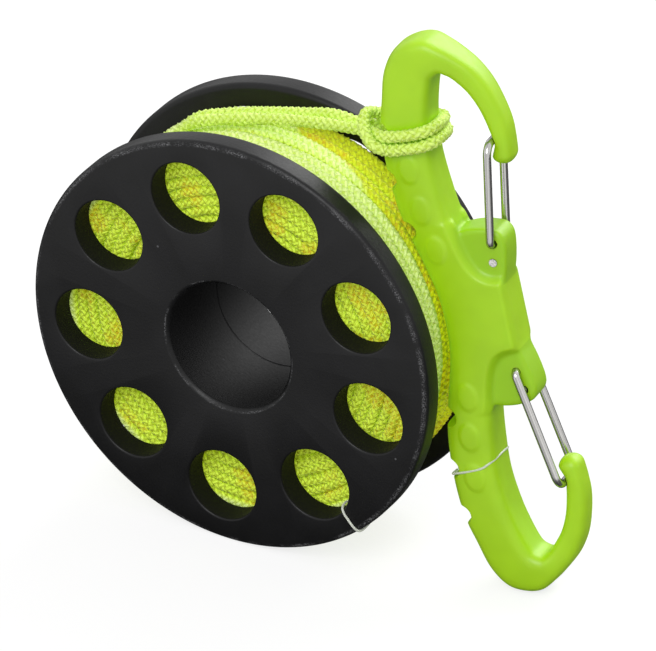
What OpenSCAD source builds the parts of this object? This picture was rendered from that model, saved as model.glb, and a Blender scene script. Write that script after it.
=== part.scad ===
// Finger spool of braided line with a double-ended clip hitched to the line's end.
//
// +Y runs along the spool's axis from the front flange to the rear flange, and +Z is up.
// The origin is the centre of the finger bore. The spool stands on the rims of its flanges,
// and the clip stands beside it on one hook, with its spine against the winding.
//
// The clip and its gates are drawn in the clip's own frame and then placed by clip_place():
// X runs across the clip towards the gates, Y through its thickness and Z along its length.

/* [Spool] */
// Diameter of both flanges
flange_d = 90; // [84:0.5:100]
// Width of the spool over the outer faces of its flanges
spool_w = 32.2; // [31:0.1:38]
// Thickness of each flange
flange_t = 5.5; // [4.5:0.1:5.8]
// Radius on both edges of each rim
rim_round = 1.2; // [0.4:0.1:1.8]
// Diameter of the finger bore
bore_d = 27.6; // [22:0.1:30]
// Chamfer at each mouth of the finger bore
bore_chamfer = 0.8; // [0.2:0.1:1.5]
// Wall of the hub tube, spigot and socket together
hub_wall = 2.8; // [2.2:0.1:3.6]

/* [Flange holes] */
// Number of holes in each flange
hole_count = 9; // [6:1:10]
// Diameter of each hole
hole_d = 15.4; // [12:0.1:17]
// Diameter of the circle on which the holes' centres lie
hole_circle_d = 65; // [62:0.5:67]
// Angle of the first hole above the +X axis
hole_angle = 107.2; // [0:0.1:360]
// Chamfer round each hole on the outer face
hole_chamfer = 0.4; // [0.1:0.1:0.8]

/* [Hub joint] */
// Depth of the seam inside the bore, from the front flange's outer face
seam_depth = 19.4; // [12:0.1:21]
// Length by which the socket of the rear half overlaps the spigot of the front half
socket_l = 5; // [2:0.1:6]
// Radial clearance between the spigot and the socket
socket_gap = 0.05; // [0.03:0.01:0.1]

/* [Line] */
// Diameter of the braided line
line_d = 2.4; // [2:0.1:2.6]
// Diameter of the full winding
winding_d = 80.6; // [70:0.2:81]
// Radius on both shoulders of the winding
winding_round = 3; // [2.6:0.1:4]
// Clearance of soft pieces from their neighbours
soft_gap = 0.3; // [0.3:0.05:0.5]

/* [Clip] */
// Length of the clip over both hooks
clip_l = 119.2; // [116:0.2:126]
// Thickness of the spine and the gate block
clip_t = 10.6; // [10:0.1:11.4]
// Thickness of each nose
nose_t = 6; // [5:0.1:6.6]
// Distance from the spine's waist to the winding
waist_gap = 1.1; // [1:0.1:3]
// Radius of the finger notches in the back of the spine
notch_r = 2.1; // [1:0.1:2.4]
// Radius of the grip studs on both faces
stud_r = 2.7; // [1.5:0.1:3]
// Height of the grip studs
stud_h = 0.6; // [0.3:0.1:1]

/* [Clip pose] */
// Angle by which the top of the clip leans towards the spool
clip_lean = 16; // [14:0.1:18]
// Angle by which the top of the clip leans towards the rear flange
clip_back = 4; // [2:0.1:5]
// Angle by which the gate side is turned towards the rear flange
clip_turn = 10.3; // [7:0.1:12]
// Offset of the clip's middle from the middle of the spool, towards the rear flange
clip_offset = 3.4; // [2.5:0.1:4]

/* [Gates] */
// Diameter of the gates' wire
wire_d = 1.65; // [1.4:0.05:1.8]
// Distance between the centres of a gate's two legs
leg_spacing = 9.2; // [8.8:0.1:9.6]
// Clearance between a leg and the floor of its recess
leg_gap = 0.15; // [0.1:0.05:0.3]
// Radial clearance of a wire end in its pivot hole
pivot_gap = 0.05; // [0.03:0.01:0.1]
// Radial clearance of the other wire end in its slot
slot_gap = 0.15; // [0.1:0.05:0.25]
// Angle through which each gate opens
gate_open = 22; // [18:1:24]
// Inner radius of the wire's bends
wire_bend = 1.5; // [1:0.1:2]

/* [Tie] */
// Diameter of the clear retail tie
tie_d = 0.5; // [0.4:0.05:0.6]
// Clearance between the tie and what it goes round
tie_gap = 0.15; // [0.1:0.05:0.3]
// Radius of the tie's knots
tie_knot_r = 0.9; // [0.7:0.1:1.1]

/* [Hidden] */

$fn = 96;
fine = 0.01;

flange_r = flange_d / 2;
half_w = spool_w / 2;
inner_y = half_w - flange_t;
bore_r = bore_d / 2;
hub_r = bore_r + hub_wall;
hole_r = hole_d / 2;
hole_circle_r = hole_circle_d / 2;
seam_y = seam_depth - half_w;
spigot_r = bore_r + hub_wall / 2;
winding_r = winding_d / 2;
line_r = line_d / 2;
line_sides = 8;

wire_r = wire_d / 2;
wire_sides = 12;
leg_y = leg_spacing / 2;
floor_y = leg_y - wire_r - leg_gap;
tie_r = tie_d / 2;
tie_sides = 6;

// ---- Outline of one half of the clip, from the middle of the spine to the nose ----
// Each rib runs from the back edge to the gate-side edge: [back x, back z, front x, front z].
hook_top = clip_l / 2;
spine_ribs = [
    [-7.3, 0, 0.5, 0],
    [-7.7, 6, 0.3, 6],
    [-9.1, 12, -0.2, 12],
    [-10.9, 18.5, -1.2, 18.5],
    [-12.2, 25, -2.1, 25],
    [-12.7, 33, -2.7, 33.5],
    [-12.2, 41, -2, 40.6]
];
// The hook's ribs are measured down from the top of the hook.
hook_ribs = [
    [-10.7, -12.6, -0.8, -13.8],
    [-9.1, -7.1, 0.6, -9.9],
    [-6.3, -3, 1.8, -8.9],
    [-2.7, -1.4, 2.6, -8.6],
    [0.8, -1.3, 3, -8.7],
    [3.6, -2.9, 3.5, -9.2],
    [6.1, -4.8, 4.1, -9.6],
    [9.2, -7.8, 5.1, -10.8],
    [11.6, -11.6, 6.9, -13.2],
    [13.1, -15.9, 8.5, -16.7],
    [14, -20.4, 9.5, -20.6],
    [13.9, -24.3, 10.2, -24.5]
];
// Half thickness at each rib, as a share of the way from the spine's to the nose's.
spine_thin = [0, 0, 0, 0, 0, 0, 0];
hook_thin = [0.03, 0.08, 0.12, 0.18, 0.26, 0.38, 0.52, 0.7, 0.84, 0.94, 1, 1];
nose_round = [11.4, -26.4];
nose_r = 2.4;
nose_steps = 4;
rib_steps = 2;
section_sides = 16;
spine_squareness = 3;
nose_squareness = 2.2;

// ---- Gate block, pivots and finger grips ----
block_side = [[6.9, 0], [6.95, 7], [7.6, 11.5], [8.4, 15.6]];
block_end = [[8.3, 16.9], [6.9, 17.8], [3, 18.9], [0, 18.6], [-3, 17]];
recess_curve = [[0.2, 22], [0.5, 18], [1.1, 14.6], [2.2, 11.4], [4, 9.2], [6.4, 8.2], [12, 7.9]];
block_chamfer = 1.2;
ear_chamfer = 0.7;
pivot_xz = [5.5, 11.5];
slot_xz = [6.1, 15.4];
cross_xz = [9.8, hook_top - 23.6];
cross_gap = 0.12;
notch_xz = [[-11, 19.5], [-12.6, 30.6], [-12.2, 40.6]];
stud_xz = [[-5.2, 15.6], [-6.6, 24], [-7.3, 32.6]];

// ---- Where the clip stands ----
// Its lower hook stands on the floor below the rims, and its waist faces the winding.
foot_drop = 56.63;
clip_z = -flange_r + foot_drop + (clip_l - 119.2) / 2 * cos(clip_lean);
waist_x = spine_ribs[0][0];
waist_z = clip_z + waist_x * cos(clip_turn) * sin(clip_lean);
waist_reach = winding_r + waist_gap;
clip_x = sqrt(waist_reach * waist_reach - waist_z * waist_z) - waist_x * cos(clip_turn) * cos(clip_lean);

// ---- Route of the line's end: along the winding, round the spine and back (clip's frame) ----
tail_route = [
    [-54.6, 2.8, 43.2], [-48.2, 2.2, 43.7], [-40, 1.6, 43.4], [-31.9, 0.6, 42.8],
    [-24.2, -0.4, 41.8], [-16.8, -1.7, 40.5], [-13.2, -3.9, 40.3], [-11, -6, 40.2],
    [-7.3, -6.6, 40.1], [-3.6, -6.2, 40.2], [-1.5, -4.4, 40.2], [-0.8, -0.2, 40.1],
    [-1.7, 4.4, 39.8], [-3.9, 6.3, 39.7], [-7.2, 6.7, 39.9], [-10.8, 6.3, 40.2],
    [-13, 4.7, 41], [-14.4, 2.6, 42.2], [-15.2, 0.5, 43.2], [-15.4, -1.7, 43.5],
    [-14.9, -4.2, 42.6], [-14, -6.5, 41], [-12.2, -7.9, 39], [-9.9, -7.1, 37.6],
    [-7, -6.6, 37.4], [-3.6, -6.2, 37.4], [-1.5, -4.5, 37.5], [-0.8, -0.2, 37.5],
    [-1.6, 4.4, 37.3], [-3.9, 6.3, 37.2], [-7.4, 6.7, 37.4], [-11, 6.3, 37.8],
    [-13.6, 4.8, 38.6], [-15.8, 2.9, 39.7], [-18.4, 1.6, 40.8], [-24.1, 2.7, 42.6],
    [-31.3, 3.9, 43], [-39.5, 4.5, 43.6], [-47.8, 4.8, 43.9], [-54.2, 5.2, 43.4]
];

// ---- Small functions ----
function unit(v) = v / norm(v);
function blend4(a, b, c, d, t) =
    0.5 * (2 * b + (c - a) * t + (2 * a - 5 * b + 4 * c - d) * t * t
    + (3 * b - a - 3 * c + d) * t * t * t);
function smooth(list, steps) = concat(
    [for (i = [0 : len(list) - 2]) for (j = [0 : steps - 1])
        blend4(list[max(i - 1, 0)], list[i], list[i + 1], list[min(i + 2, len(list) - 1)], j / steps)],
    [list[len(list) - 1]]
);
function reversed(list) = [for (i = [len(list) - 1 : -1 : 0]) list[i]];
function mirrored(list) = [for (p = list) [p[0], -p[1]]];
function signed_power(value, power) = sign(value) * pow(abs(value), power);
function turned(v, a) = [v[0] * cos(a) - v[1] * sin(a), v[0] * sin(a) + v[1] * cos(a)];

// Closed skin over a list of rings with equal numbers of points
module skin(rings) {
    count = len(rings[0]);
    last = (len(rings) - 1) * count;
    points = [for (ring = rings) for (point = ring) point];
    walls = [
        for (i = [0 : len(rings) - 2]) for (j = [0 : count - 1]) for (half = [0, 1])
            let (a = i * count + j, b = i * count + (j + 1) % count)
                half == 0 ? [a, b, b + count] : [a, b + count, a + count]
    ];
    start = [for (j = [count - 1 : -1 : 0]) j];
    end = [for (j = [0 : count - 1]) last + j];
    polyhedron(points, concat(walls, [start, end]), convexity = 10);
}

// Round tube along a path, its rings carried along without twist
function tangent(path, i) = unit(path[min(i + 1, len(path) - 1)] - path[max(i - 1, 0)]);
function square_to(v, t) = unit(v - (v * t) * t);
function carried(path, first) = [
    for (i = 0, side = square_to(first, tangent(path, 0)); i < len(path);
        i = i + 1, side = i < len(path) ? square_to(side, tangent(path, i)) : side) side
];
module tube(path, radius, sides, first = [0.1, 0.2, 1]) {
    side = carried(path, first);
    rings = [
        for (i = [0 : len(path) - 1])
            let (u = side[i], w = cross(tangent(path, i), u))
                [for (k = [0 : sides - 1]) let (a = 360 * k / sides)
                    path[i] + radius * (cos(a) * u - sin(a) * w)]
    ];
    skin(rings);
}

module clip_place() {
    translate([clip_x, clip_offset, clip_z])
        rotate([0, -clip_lean, 0])
            rotate([-clip_back, 0, 0])
                rotate([0, 0, clip_turn])
                    children();
}

// ---- Spool ----
// Ring profile of a flange with its outer face at y = 0, its inner face at y = flange_t
module flange_profile() {
    round_steps = 4;
    quarter = [for (i = [0 : round_steps]) 90 * i / round_steps];
    polygon(concat(
        [[bore_r, bore_chamfer], [bore_r + bore_chamfer, 0]],
        [for (a = quarter) [flange_r - rim_round + rim_round * sin(a), rim_round - rim_round * cos(a)]],
        [for (a = quarter)
            [flange_r - rim_round + rim_round * cos(a), flange_t - rim_round + rim_round * sin(a)]],
        [[bore_r, flange_t]]
    ));
}

module flange() {
    difference() {
        rotate_extrude() flange_profile();
        for (i = [0 : hole_count - 1])
            rotate(hole_angle + 360 * i / hole_count)
                translate([hole_circle_r, 0, -fine]) {
                    cylinder(r = hole_r, h = flange_t + 2 * fine, $fn = 60);
                    cylinder(r1 = hole_r + hole_chamfer, r2 = hole_r, h = hole_chamfer + fine, $fn = 60);
                }
    }
}

// A tube of the hub along the flange's axis
module hub_ring(outer_r, from_y, to_y) {
    rotate_extrude()
        translate([bore_r, from_y])
            square([outer_r - bore_r, to_y - from_y]);
}

// Flange and its half of the hub, with local z = 0 on the flange's outer face
module front_half() {
    color([0.1, 0.1, 0.11])
        rotate([-90, 0, 0])
            translate([0, 0, -half_w])
                mirror([0, 1, 0]) {
                    flange();
                    hub_ring(hub_r, flange_t - fine, seam_depth - socket_l);
                    hub_ring(spigot_r, seam_depth - socket_l - fine, seam_depth);
                }
}

module rear_half() {
    rear_seam = spool_w - seam_depth;
    color([0.1, 0.1, 0.11])
        rotate([90, 0, 0])
            translate([0, 0, -half_w]) {
                flange();
                hub_ring(hub_r, flange_t - fine, rear_seam);
                rotate_extrude()
                    translate([spigot_r + socket_gap, rear_seam - fine])
                        square([hub_r - spigot_r - socket_gap, socket_l - soft_gap + fine]);
            }
}

// ---- Line ----
module line_winding() {
    round_steps = 4;
    reach = inner_y - soft_gap / 3;
    inner_r = hub_r + soft_gap;
    quarter = [for (i = [0 : round_steps]) 90 * i / round_steps];
    color([0.75, 0.95, 0.1])
        rotate([90, 0, 0])
            rotate_extrude()
                polygon(concat(
                    [[inner_r, reach], [inner_r, -reach]],
                    [for (a = quarter) [
                        winding_r - winding_round * (1 - sin(a)),
                        -reach + winding_round * (1 - cos(a))]],
                    [for (a = quarter) [
                        winding_r - winding_round * (1 - cos(a)),
                        reach - winding_round * (1 - sin(a))]]
                ));
}

module line_tail() {
    color([0.75, 0.95, 0.1])
        clip_place()
            tube(smooth(tail_route, rib_steps), line_r, line_sides);
}

// ---- Clip ----
spine_half_t = clip_t / 2;
nose_half_t = nose_t / 2;
half_ribs = concat(spine_ribs, [for (r = hook_ribs) [r[0], hook_top + r[1], r[2], hook_top + r[3]]]);
half_thin = concat(spine_thin, hook_thin);
// [back x, back z, front x, front z, half thickness, squareness]
sections = [for (i = [0 : len(half_ribs) - 1]) concat(
    half_ribs[i],
    [
        spine_half_t + (nose_half_t - spine_half_t) * half_thin[i],
        spine_squareness + (nose_squareness - spine_squareness) * half_thin[i]
    ]
)];
function flipped(s) = [s[0], -s[1], s[2], -s[3], s[4], s[5]];

// Ribs of the rounded end of the nose
nose_sections = [for (i = [1 : nose_steps])
    let (a = 88 * i / nose_steps, z = hook_top + nose_round[1] + nose_r - nose_r * sin(a))
        [
            nose_round[0] + nose_r * cos(a), z - nose_r,
            nose_round[0] - nose_r * cos(a), z - nose_r,
            nose_half_t * cos(a), nose_squareness
        ]
];

function section_ring(s) =
    let (
        middle = [(s[0] + s[2]) / 2, (s[1] + s[3]) / 2],
        reach = [(s[0] - s[2]) / 2, (s[1] - s[3]) / 2],
        power = 2 / s[5]
    )
    [for (k = [0 : section_sides - 1])
        let (a = 360 * (k + 0.5) / section_sides, c = signed_power(cos(a), power),
            d = signed_power(sin(a), power))
            [middle[0] + reach[0] * c, s[4] * d, middle[1] + reach[1] * c]
    ];

module clip_bar() {
    upper = concat(smooth(sections, rib_steps), nose_sections);
    lower = [for (i = [len(upper) - 1 : -1 : 1]) flipped(upper[i])];
    skin([for (s = concat(lower, upper)) section_ring(s)]);
}

module slab(thickness) {
    rotate([90, 0, 0])
        translate([0, 0, -thickness / 2])
            linear_extrude(height = thickness)
                children();
}

block_half = concat(block_side, block_end);
block_outline = concat(block_half, reversed(mirrored(block_half)));

recess_edge = concat(smooth(recess_curve, 3), [[12, 22]]);
module recess_shape(side) {
    polygon(side > 0 ? recess_edge : mirrored(recess_edge));
}

// Both ends of the block, thinned so that the gates' legs lie in the recesses
module block_ears() {
    ear_t = 2 * floor_y;
    hull() {
        slab(ear_t) offset(delta = -ear_chamfer) polygon(block_outline);
        slab(ear_t - 2 * ear_chamfer) polygon(block_outline);
    }
}

module block_middle() {
    hull() {
        slab(clip_t) offset(delta = -block_chamfer) middle_shape();
        slab(clip_t - 2 * block_chamfer) middle_shape();
    }
}

module middle_shape() {
    intersection() {
        polygon(block_outline);
        difference() {
            translate([-4, -22]) square([14, 44]);
            for (side = [-1, 1])
                recess_shape(side);
        }
    }
}

// A wire end's hole, or the slot in which the other end moves, for the gate at the upper end
module pivot_hole() {
    translate([pivot_xz[0], 0, pivot_xz[1]])
        rotate([90, 0, 0])
            cylinder(r = wire_r + pivot_gap, h = clip_t, center = true);
}

module end_slot() {
    arm = slot_xz - pivot_xz;
    reach = norm(arm);
    first = atan2(arm[1], arm[0]);
    slot_r = wire_r + slot_gap;
    translate([pivot_xz[0], clip_t / 2, pivot_xz[1]])
        rotate([90, 0, 0]) {
            rotate(first)
                rotate_extrude(angle = gate_open)
                    translate([reach - slot_r, 0])
                        square([2 * slot_r, clip_t]);
            for (a = [first, first + gate_open])
                rotate(a)
                    translate([reach, 0, 0])
                        cylinder(r = slot_r, h = clip_t, $fn = 32);
        }
}

module cross_notch() {
    translate([cross_xz[0], 0, cross_xz[1]])
        rotate([90, 0, 0])
            cylinder(r = wire_r + cross_gap, h = clip_t, center = true);
}

module grips() {
    for (p = notch_xz)
        translate([p[0], 0, p[1]])
            rotate([90, 0, 0])
                cylinder(r = notch_r, h = clip_t + 2, center = true, $fn = 48);
}

// Shallow round stud on the face at -Y
module stud(p) {
    ball_r = (stud_r * stud_r + stud_h * stud_h) / (2 * stud_h);
    edge = asin(stud_r / ball_r);
    translate([p[0], -spine_half_t, p[1]])
        rotate([90, 0, 0])
            rotate_extrude($fn = 32)
                polygon(concat(
                    [[0, -stud_h]],
                    [[stud_r, -stud_h]],
                    [for (a = [1, 0.66, 0.33])
                        [ball_r * sin(a * edge), stud_h - ball_r * (1 - cos(a * edge))]],
                    [[0, stud_h]]
                ));
}

module clip_body() {
    color([0.66, 0.9, 0.05])
        clip_place()
            difference() {
                union() {
                    clip_bar();
                    block_middle();
                    block_ears();
                    for (p = stud_xz)
                        for (z_flip = [0, 1]) for (y_flip = [0, 1])
                            mirror([0, 0, z_flip]) mirror([0, y_flip, 0]) stud(p);
                }
                for (z_flip = [0, 1])
                    mirror([0, 0, z_flip]) {
                        pivot_hole();
                        end_slot();
                        cross_notch();
                        grips();
                    }
            }
}

// ---- Gates ----
// One bent wire: the leg at -Y ends in the slot, the leg at +Y ends in the pivot hole.
function arc_corner(before, at, after, radius) =
    let (
        u = unit(before - at), w = unit(after - at),
        half = acos(u * w) / 2, back = radius / tan(half),
        centre = at + unit(u + w) * radius / sin(half),
        start = at + u * back - centre, finish = at + w * back - centre, sweep = 180 - 2 * half
    )
    [for (i = [0 : bend_steps])
        centre + (start * sin(sweep * (1 - i / bend_steps)) + finish * sin(sweep * i / bend_steps))
            / sin(sweep)];
bend_steps = 5;

module gate_wire() {
    bend = wire_bend + wire_r;
    slot_foot = [slot_xz[0], floor_y, slot_xz[1]];
    slot_knee = [slot_xz[0], -leg_y, slot_xz[1]];
    pivot_foot = [pivot_xz[0], -floor_y, pivot_xz[1]];
    pivot_knee = [pivot_xz[0], leg_y, pivot_xz[1]];
    near_corner = [cross_xz[0], -leg_y, cross_xz[1]];
    far_corner = [cross_xz[0], leg_y, cross_xz[1]];
    foot_bend = wire_r + leg_gap + fine;
    path = concat(
        [[slot_xz[0], -floor_y + wire_r, slot_xz[1]]],
        arc_corner(slot_foot, slot_knee, near_corner, foot_bend),
        arc_corner(slot_knee, near_corner, far_corner, bend),
        arc_corner(near_corner, far_corner, pivot_knee, bend),
        arc_corner(far_corner, pivot_knee, pivot_foot, foot_bend),
        [[pivot_xz[0], floor_y - wire_r, pivot_xz[1]]]
    );
    tube(path, wire_r, wire_sides, [1, 0, 0]);
    wire_end(slot_xz);
    wire_end(pivot_xz);
}

// Straight end of the wire, through the block between its recess floors
module wire_end(p) {
    translate([p[0], 0, p[1]])
        rotate([90, 0, 0])
            cylinder(r = wire_r, h = 2 * floor_y, center = true);
}

module upper_gate() {
    color([0.75, 0.76, 0.78])
        clip_place()
            gate_wire();
}

// The lower gate is the upper one turned half a turn about the clip's X axis.
module lower_gate() {
    color([0.75, 0.76, 0.78])
        clip_place()
            rotate([180, 0, 0])
                gate_wire();
}

// ---- Retail tie ----
// Loop through one hole of the front flange and round its rim, in [radius, y]. Its points are
// measured from the rim, from the outer face and from the inner face.
tie_angle = -48.9;
tie_out = -half_w;
tie_in = -inner_y;
tie_loop = [
    [flange_r - 6.4, tie_out + 2.7], [flange_r - 6.1, tie_out + 0.7],
    [flange_r - 5.1, tie_out - 0.3], [flange_r - 3.5, tie_out - 0.5],
    [flange_r - 1.7, tie_out - 0.4], [flange_r - 0.2, tie_out],
    [flange_r + 0.5, tie_out + 1.3], [flange_r + 0.5, tie_in - 1.6],
    [flange_r, tie_in - 0.1], [flange_r - 1.4, tie_in + 0.4],
    [flange_r - 3.4, tie_in + 0.5], [flange_r - 5.1, tie_in + 0.55],
    [flange_r - 5.8, tie_in - 0.2], [flange_r - 6.2, tie_in - 1.4]
];
tie_knot = [tie_loop[0][0], (tie_loop[0][1] + tie_loop[13][1]) / 2];

module tie_on_spool() {
    path = [for (p = smooth(tie_loop, rib_steps))
        [p[0] * cos(tie_angle), p[1], p[0] * sin(tie_angle)]];
    color([0.85, 0.87, 0.88, 0.6]) {
        tube(path, tie_r, tie_sides);
        translate([tie_knot[0] * cos(tie_angle), tie_knot[1], tie_knot[0] * sin(tie_angle)])
            sphere(r = tie_knot_r, $fn = 24);
    }
}

// Loop round the lower leg of the clip, in the clip's frame
tie_ring = [
    [-13, -0.6, -32.4], [-12.8, -3.8, -32], [-11.4, -5.4, -31.5], [-9, -6, -31.2],
    [-5.5, -6, -30.7], [-3.2, -5.6, -30], [-2, -4, -29.6], [-1.8, -0.4, -29.4],
    [-2, 4, -29.9], [-3.2, 5.6, -30.6], [-5.6, 6, -31.4], [-9, 6, -32.2],
    [-11.5, 5.4, -32.6], [-12.8, 3.8, -32.7], [-13, 0.4, -32.5]
];

module tie_on_clip() {
    color([0.85, 0.87, 0.88, 0.6])
        clip_place() {
            tube(smooth(tie_ring, rib_steps), tie_r, tie_sides);
            translate([tie_ring[0][0] + tie_r - tie_knot_r, 0, tie_ring[0][2]])
                sphere(r = tie_knot_r, $fn = 24);
        }
}

front_half();
rear_half();
line_winding();
line_tail();
clip_body();
upper_gate();
lower_gate();
tie_on_spool();
tie_on_clip();
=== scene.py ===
"""Looks of a finger spool of braided line and its double-ended clip, built round the CAD frame.

Lengths are in millimetres wherever a name or docstring doesn't say otherwise, and become metres
when a mesh is made. +Y runs along the spool's axis from the front flange to the rear one.
"""

import logging
import math
from collections.abc import Iterator
from contextlib import contextmanager
from dataclasses import dataclass, field
from enum import Enum

import bmesh
import bpy
import numpy as np
from mathutils import Matrix


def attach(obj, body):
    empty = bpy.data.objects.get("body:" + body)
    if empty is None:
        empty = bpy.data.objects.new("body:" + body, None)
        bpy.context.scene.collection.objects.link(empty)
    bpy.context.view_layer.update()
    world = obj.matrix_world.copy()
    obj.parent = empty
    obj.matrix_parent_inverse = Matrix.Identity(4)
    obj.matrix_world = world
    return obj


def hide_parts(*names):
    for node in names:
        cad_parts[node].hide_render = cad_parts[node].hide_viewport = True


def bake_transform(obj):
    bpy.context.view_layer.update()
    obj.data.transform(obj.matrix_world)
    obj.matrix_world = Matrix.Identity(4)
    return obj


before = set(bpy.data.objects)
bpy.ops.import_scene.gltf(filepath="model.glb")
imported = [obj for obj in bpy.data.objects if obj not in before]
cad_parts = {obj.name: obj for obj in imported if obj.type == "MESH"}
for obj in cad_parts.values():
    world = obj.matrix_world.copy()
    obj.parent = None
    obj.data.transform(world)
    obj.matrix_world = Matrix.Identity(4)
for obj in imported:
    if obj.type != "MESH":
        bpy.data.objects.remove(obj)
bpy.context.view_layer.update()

LOG = logging.getLogger("finger_spool")
MM = 0.001
FULL_TURN = 2 * math.pi
FLOAT, VECTOR = "NodeSocketFloat", "NodeSocketVector"
Points = np.ndarray
Colour = tuple[float, float, float]
Pair = tuple[float, float]
Groups = dict[str, bpy.types.NodeTree]
Inputs = dict[str, object]


class Side(Enum):
    """The two flanges, by the sign of their Y."""

    FRONT = -1
    REAR = 1


class Half(Enum):
    """The two halves of the clip, by the sign of their place along it."""

    UPPER = 1
    LOWER = -1


# ---------------------------------------------------------------- node trees


@dataclass
class Tree:
    """Adds and joins the nodes of one node tree.

    Args:
        data: The node tree to fill.
    """

    data: bpy.types.NodeTree

    def add(self, kind: str, inputs: Inputs | None = None, **settings: object) -> bpy.types.Node:
        """Adds a node.

        Args:
            kind: The node's type.
            inputs: What its inputs get, by their names.
            settings: The node's own settings.

        Returns:
            The new node.
        """
        node = self.data.nodes.new(kind)
        for name, value in settings.items():
            setattr(node, name, value)
        self.fill(node, inputs or {})
        return node

    def feed(self, socket: bpy.types.NodeSocket, value: object) -> None:
        """Joins a socket to another one, or writes a plain value into it.

        Args:
            socket: The input socket.
            value: The other socket, a plain value, or None to leave the input as it is.
        """
        if isinstance(value, bpy.types.NodeSocket):
            self.data.links.new(value, socket)
        elif value is not None:
            socket.default_value = value

    def fill(self, node: bpy.types.Node, inputs: Inputs) -> None:
        """Feeds several inputs of a node by their names."""
        for name, value in inputs.items():
            self.feed(node.inputs[name], value)

    def group(self, data: bpy.types.NodeTree, inputs: Inputs) -> bpy.types.Node:
        """Adds a shared shader group and gives its node."""
        return self.add("ShaderNodeGroup", inputs, node_tree=data)

    def math(self, operation: str, a: object, b: object = None, c: object = None,
             clamp: bool = False) -> object:
        """Adds a Math node.

        Args:
            operation: The node's operation.
            a: Its first input.
            b: Its second input, if it has one.
            c: Its third input, if it has one.
            clamp: Whether to clamp the result to 0 to 1.

        Returns:
            Its output socket.
        """
        node = self.add("ShaderNodeMath", operation=operation, use_clamp=clamp)
        for socket, value in zip(node.inputs, (a, b, c)):
            self.feed(socket, value)
        return node.outputs[0]

    def hypot(self, a: object, b: object) -> object:
        """Gives the socket of the length of the sides a and b at right angles."""
        squares = [self.math("MULTIPLY", side, side) for side in (a, b)]
        return self.math("SQRT", self.math("ADD", *squares))

    def spread(self, value: object, low: float, high: float, to_low: float = 0.0,
               to_high: float = 1.0) -> object:
        """Maps a value from one range to another, smoothly and clamped.

        Args:
            value: The socket to map.
            low: The start of its range.
            high: The end of its range.
            to_low: What the start becomes.
            to_high: What the end becomes.

        Returns:
            The mapped value's socket.
        """
        inputs = {"Value": value, "From Min": low, "From Max": high, "To Min": to_low,
                  "To Max": to_high}
        node = self.add("ShaderNodeMapRange", inputs, interpolation_type="SMOOTHSTEP", clamp=True)
        return node.outputs["Result"]

    def mix(self, factor: object, a: object, b: object) -> object:
        """Mixes two colours.

        Args:
            factor: The share of the second colour.
            a: The first colour or its socket.
            b: The second colour or its socket.

        Returns:
            The mixed colour's socket.
        """
        node = self.add("ShaderNodeMix", {"Factor": factor}, data_type="RGBA")
        for socket, value in zip([s for s in node.inputs if s.type == "RGBA"], (a, b)):
            is_socket = isinstance(value, bpy.types.NodeSocket)
            self.feed(socket, value if is_socket else (*value, 1.0))
        return [s for s in node.outputs if s.type == "RGBA"][0]

    def noise(self, where: object, scale: object, detail: float = 2.0,
              rough: float = 0.55) -> object:
        """Gives a noise texture's socket, with its scale in features per metre."""
        inputs = {"Vector": where, "Scale": scale, "Detail": detail, "Roughness": rough}
        return self.add("ShaderNodeTexNoise", inputs).outputs["Fac"]

    def split(self, vector: object) -> tuple:
        """Gives the sockets of a vector's X, Y and Z."""
        return tuple(self.add("ShaderNodeSeparateXYZ", {"Vector": vector}).outputs)

    def attribute(self, name: str, output: str = "Fac") -> object:
        """Gives the socket of an attribute of the mesh."""
        return self.add("ShaderNodeAttribute", attribute_name=name).outputs[output]

    def bump(self, height: object, distance: float, strength: float = 1.0) -> object:
        """Gives the normal's socket of a Bump node, with its distance in metres."""
        inputs = {"Strength": strength, "Distance": distance, "Height": height}
        return self.add("ShaderNodeBump", inputs).outputs[0]


def shader_group(name: str, vector: str, values: tuple[str, ...],
                 outputs: tuple[str, ...]) -> tuple[Tree, object, object]:
    """Starts a shader node group with named sockets.

    Args:
        name: The group's name.
        vector: Name of its vector input.
        values: Names of its float inputs.
        outputs: Names of its float outputs.

    Returns:
        The tree, the sockets that it is given and its output node.
    """
    data = bpy.data.node_groups.new(name, "ShaderNodeTree")
    data.interface.new_socket(vector, in_out="INPUT", socket_type=VECTOR)
    for label in values:
        data.interface.new_socket(label, in_out="INPUT", socket_type=FLOAT)
    for label in outputs:
        data.interface.new_socket(label, in_out="OUTPUT", socket_type=FLOAT)
    tree = Tree(data)
    return tree, tree.add("NodeGroupInput").outputs, tree.add("NodeGroupOutput")


def moulded_grain_group() -> bpy.types.NodeTree:
    """Builds the fine grain of moulded plastic, with a slow change of tone and sparse specks.

    Returns:
        The group, which gives Tone, Grain and Specks.
    """
    tree, given, out = shader_group(
        "moulded_grain", "Where", ("Grain scale", "Speck size"), ("Tone", "Grain", "Specks"))
    where = given["Where"]
    bare_share = 0.86
    cells = tree.add("ShaderNodeTexVoronoi", {"Vector": where, "Scale": 260.0}, feature="F1")
    picked = tree.math("GREATER_THAN", tree.split(cells.outputs["Color"])[0], bare_share)
    near = tree.math("LESS_THAN", cells.outputs["Distance"], given["Speck size"])
    tree.fill(out, {
        "Tone": tree.spread(tree.noise(where, scale=90.0), 0.35, 0.65),
        "Grain": tree.noise(where, scale=given["Grain scale"], rough=0.5),
        "Specks": tree.math("MULTIPLY", picked, near),
    })
    return tree.data


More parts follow.
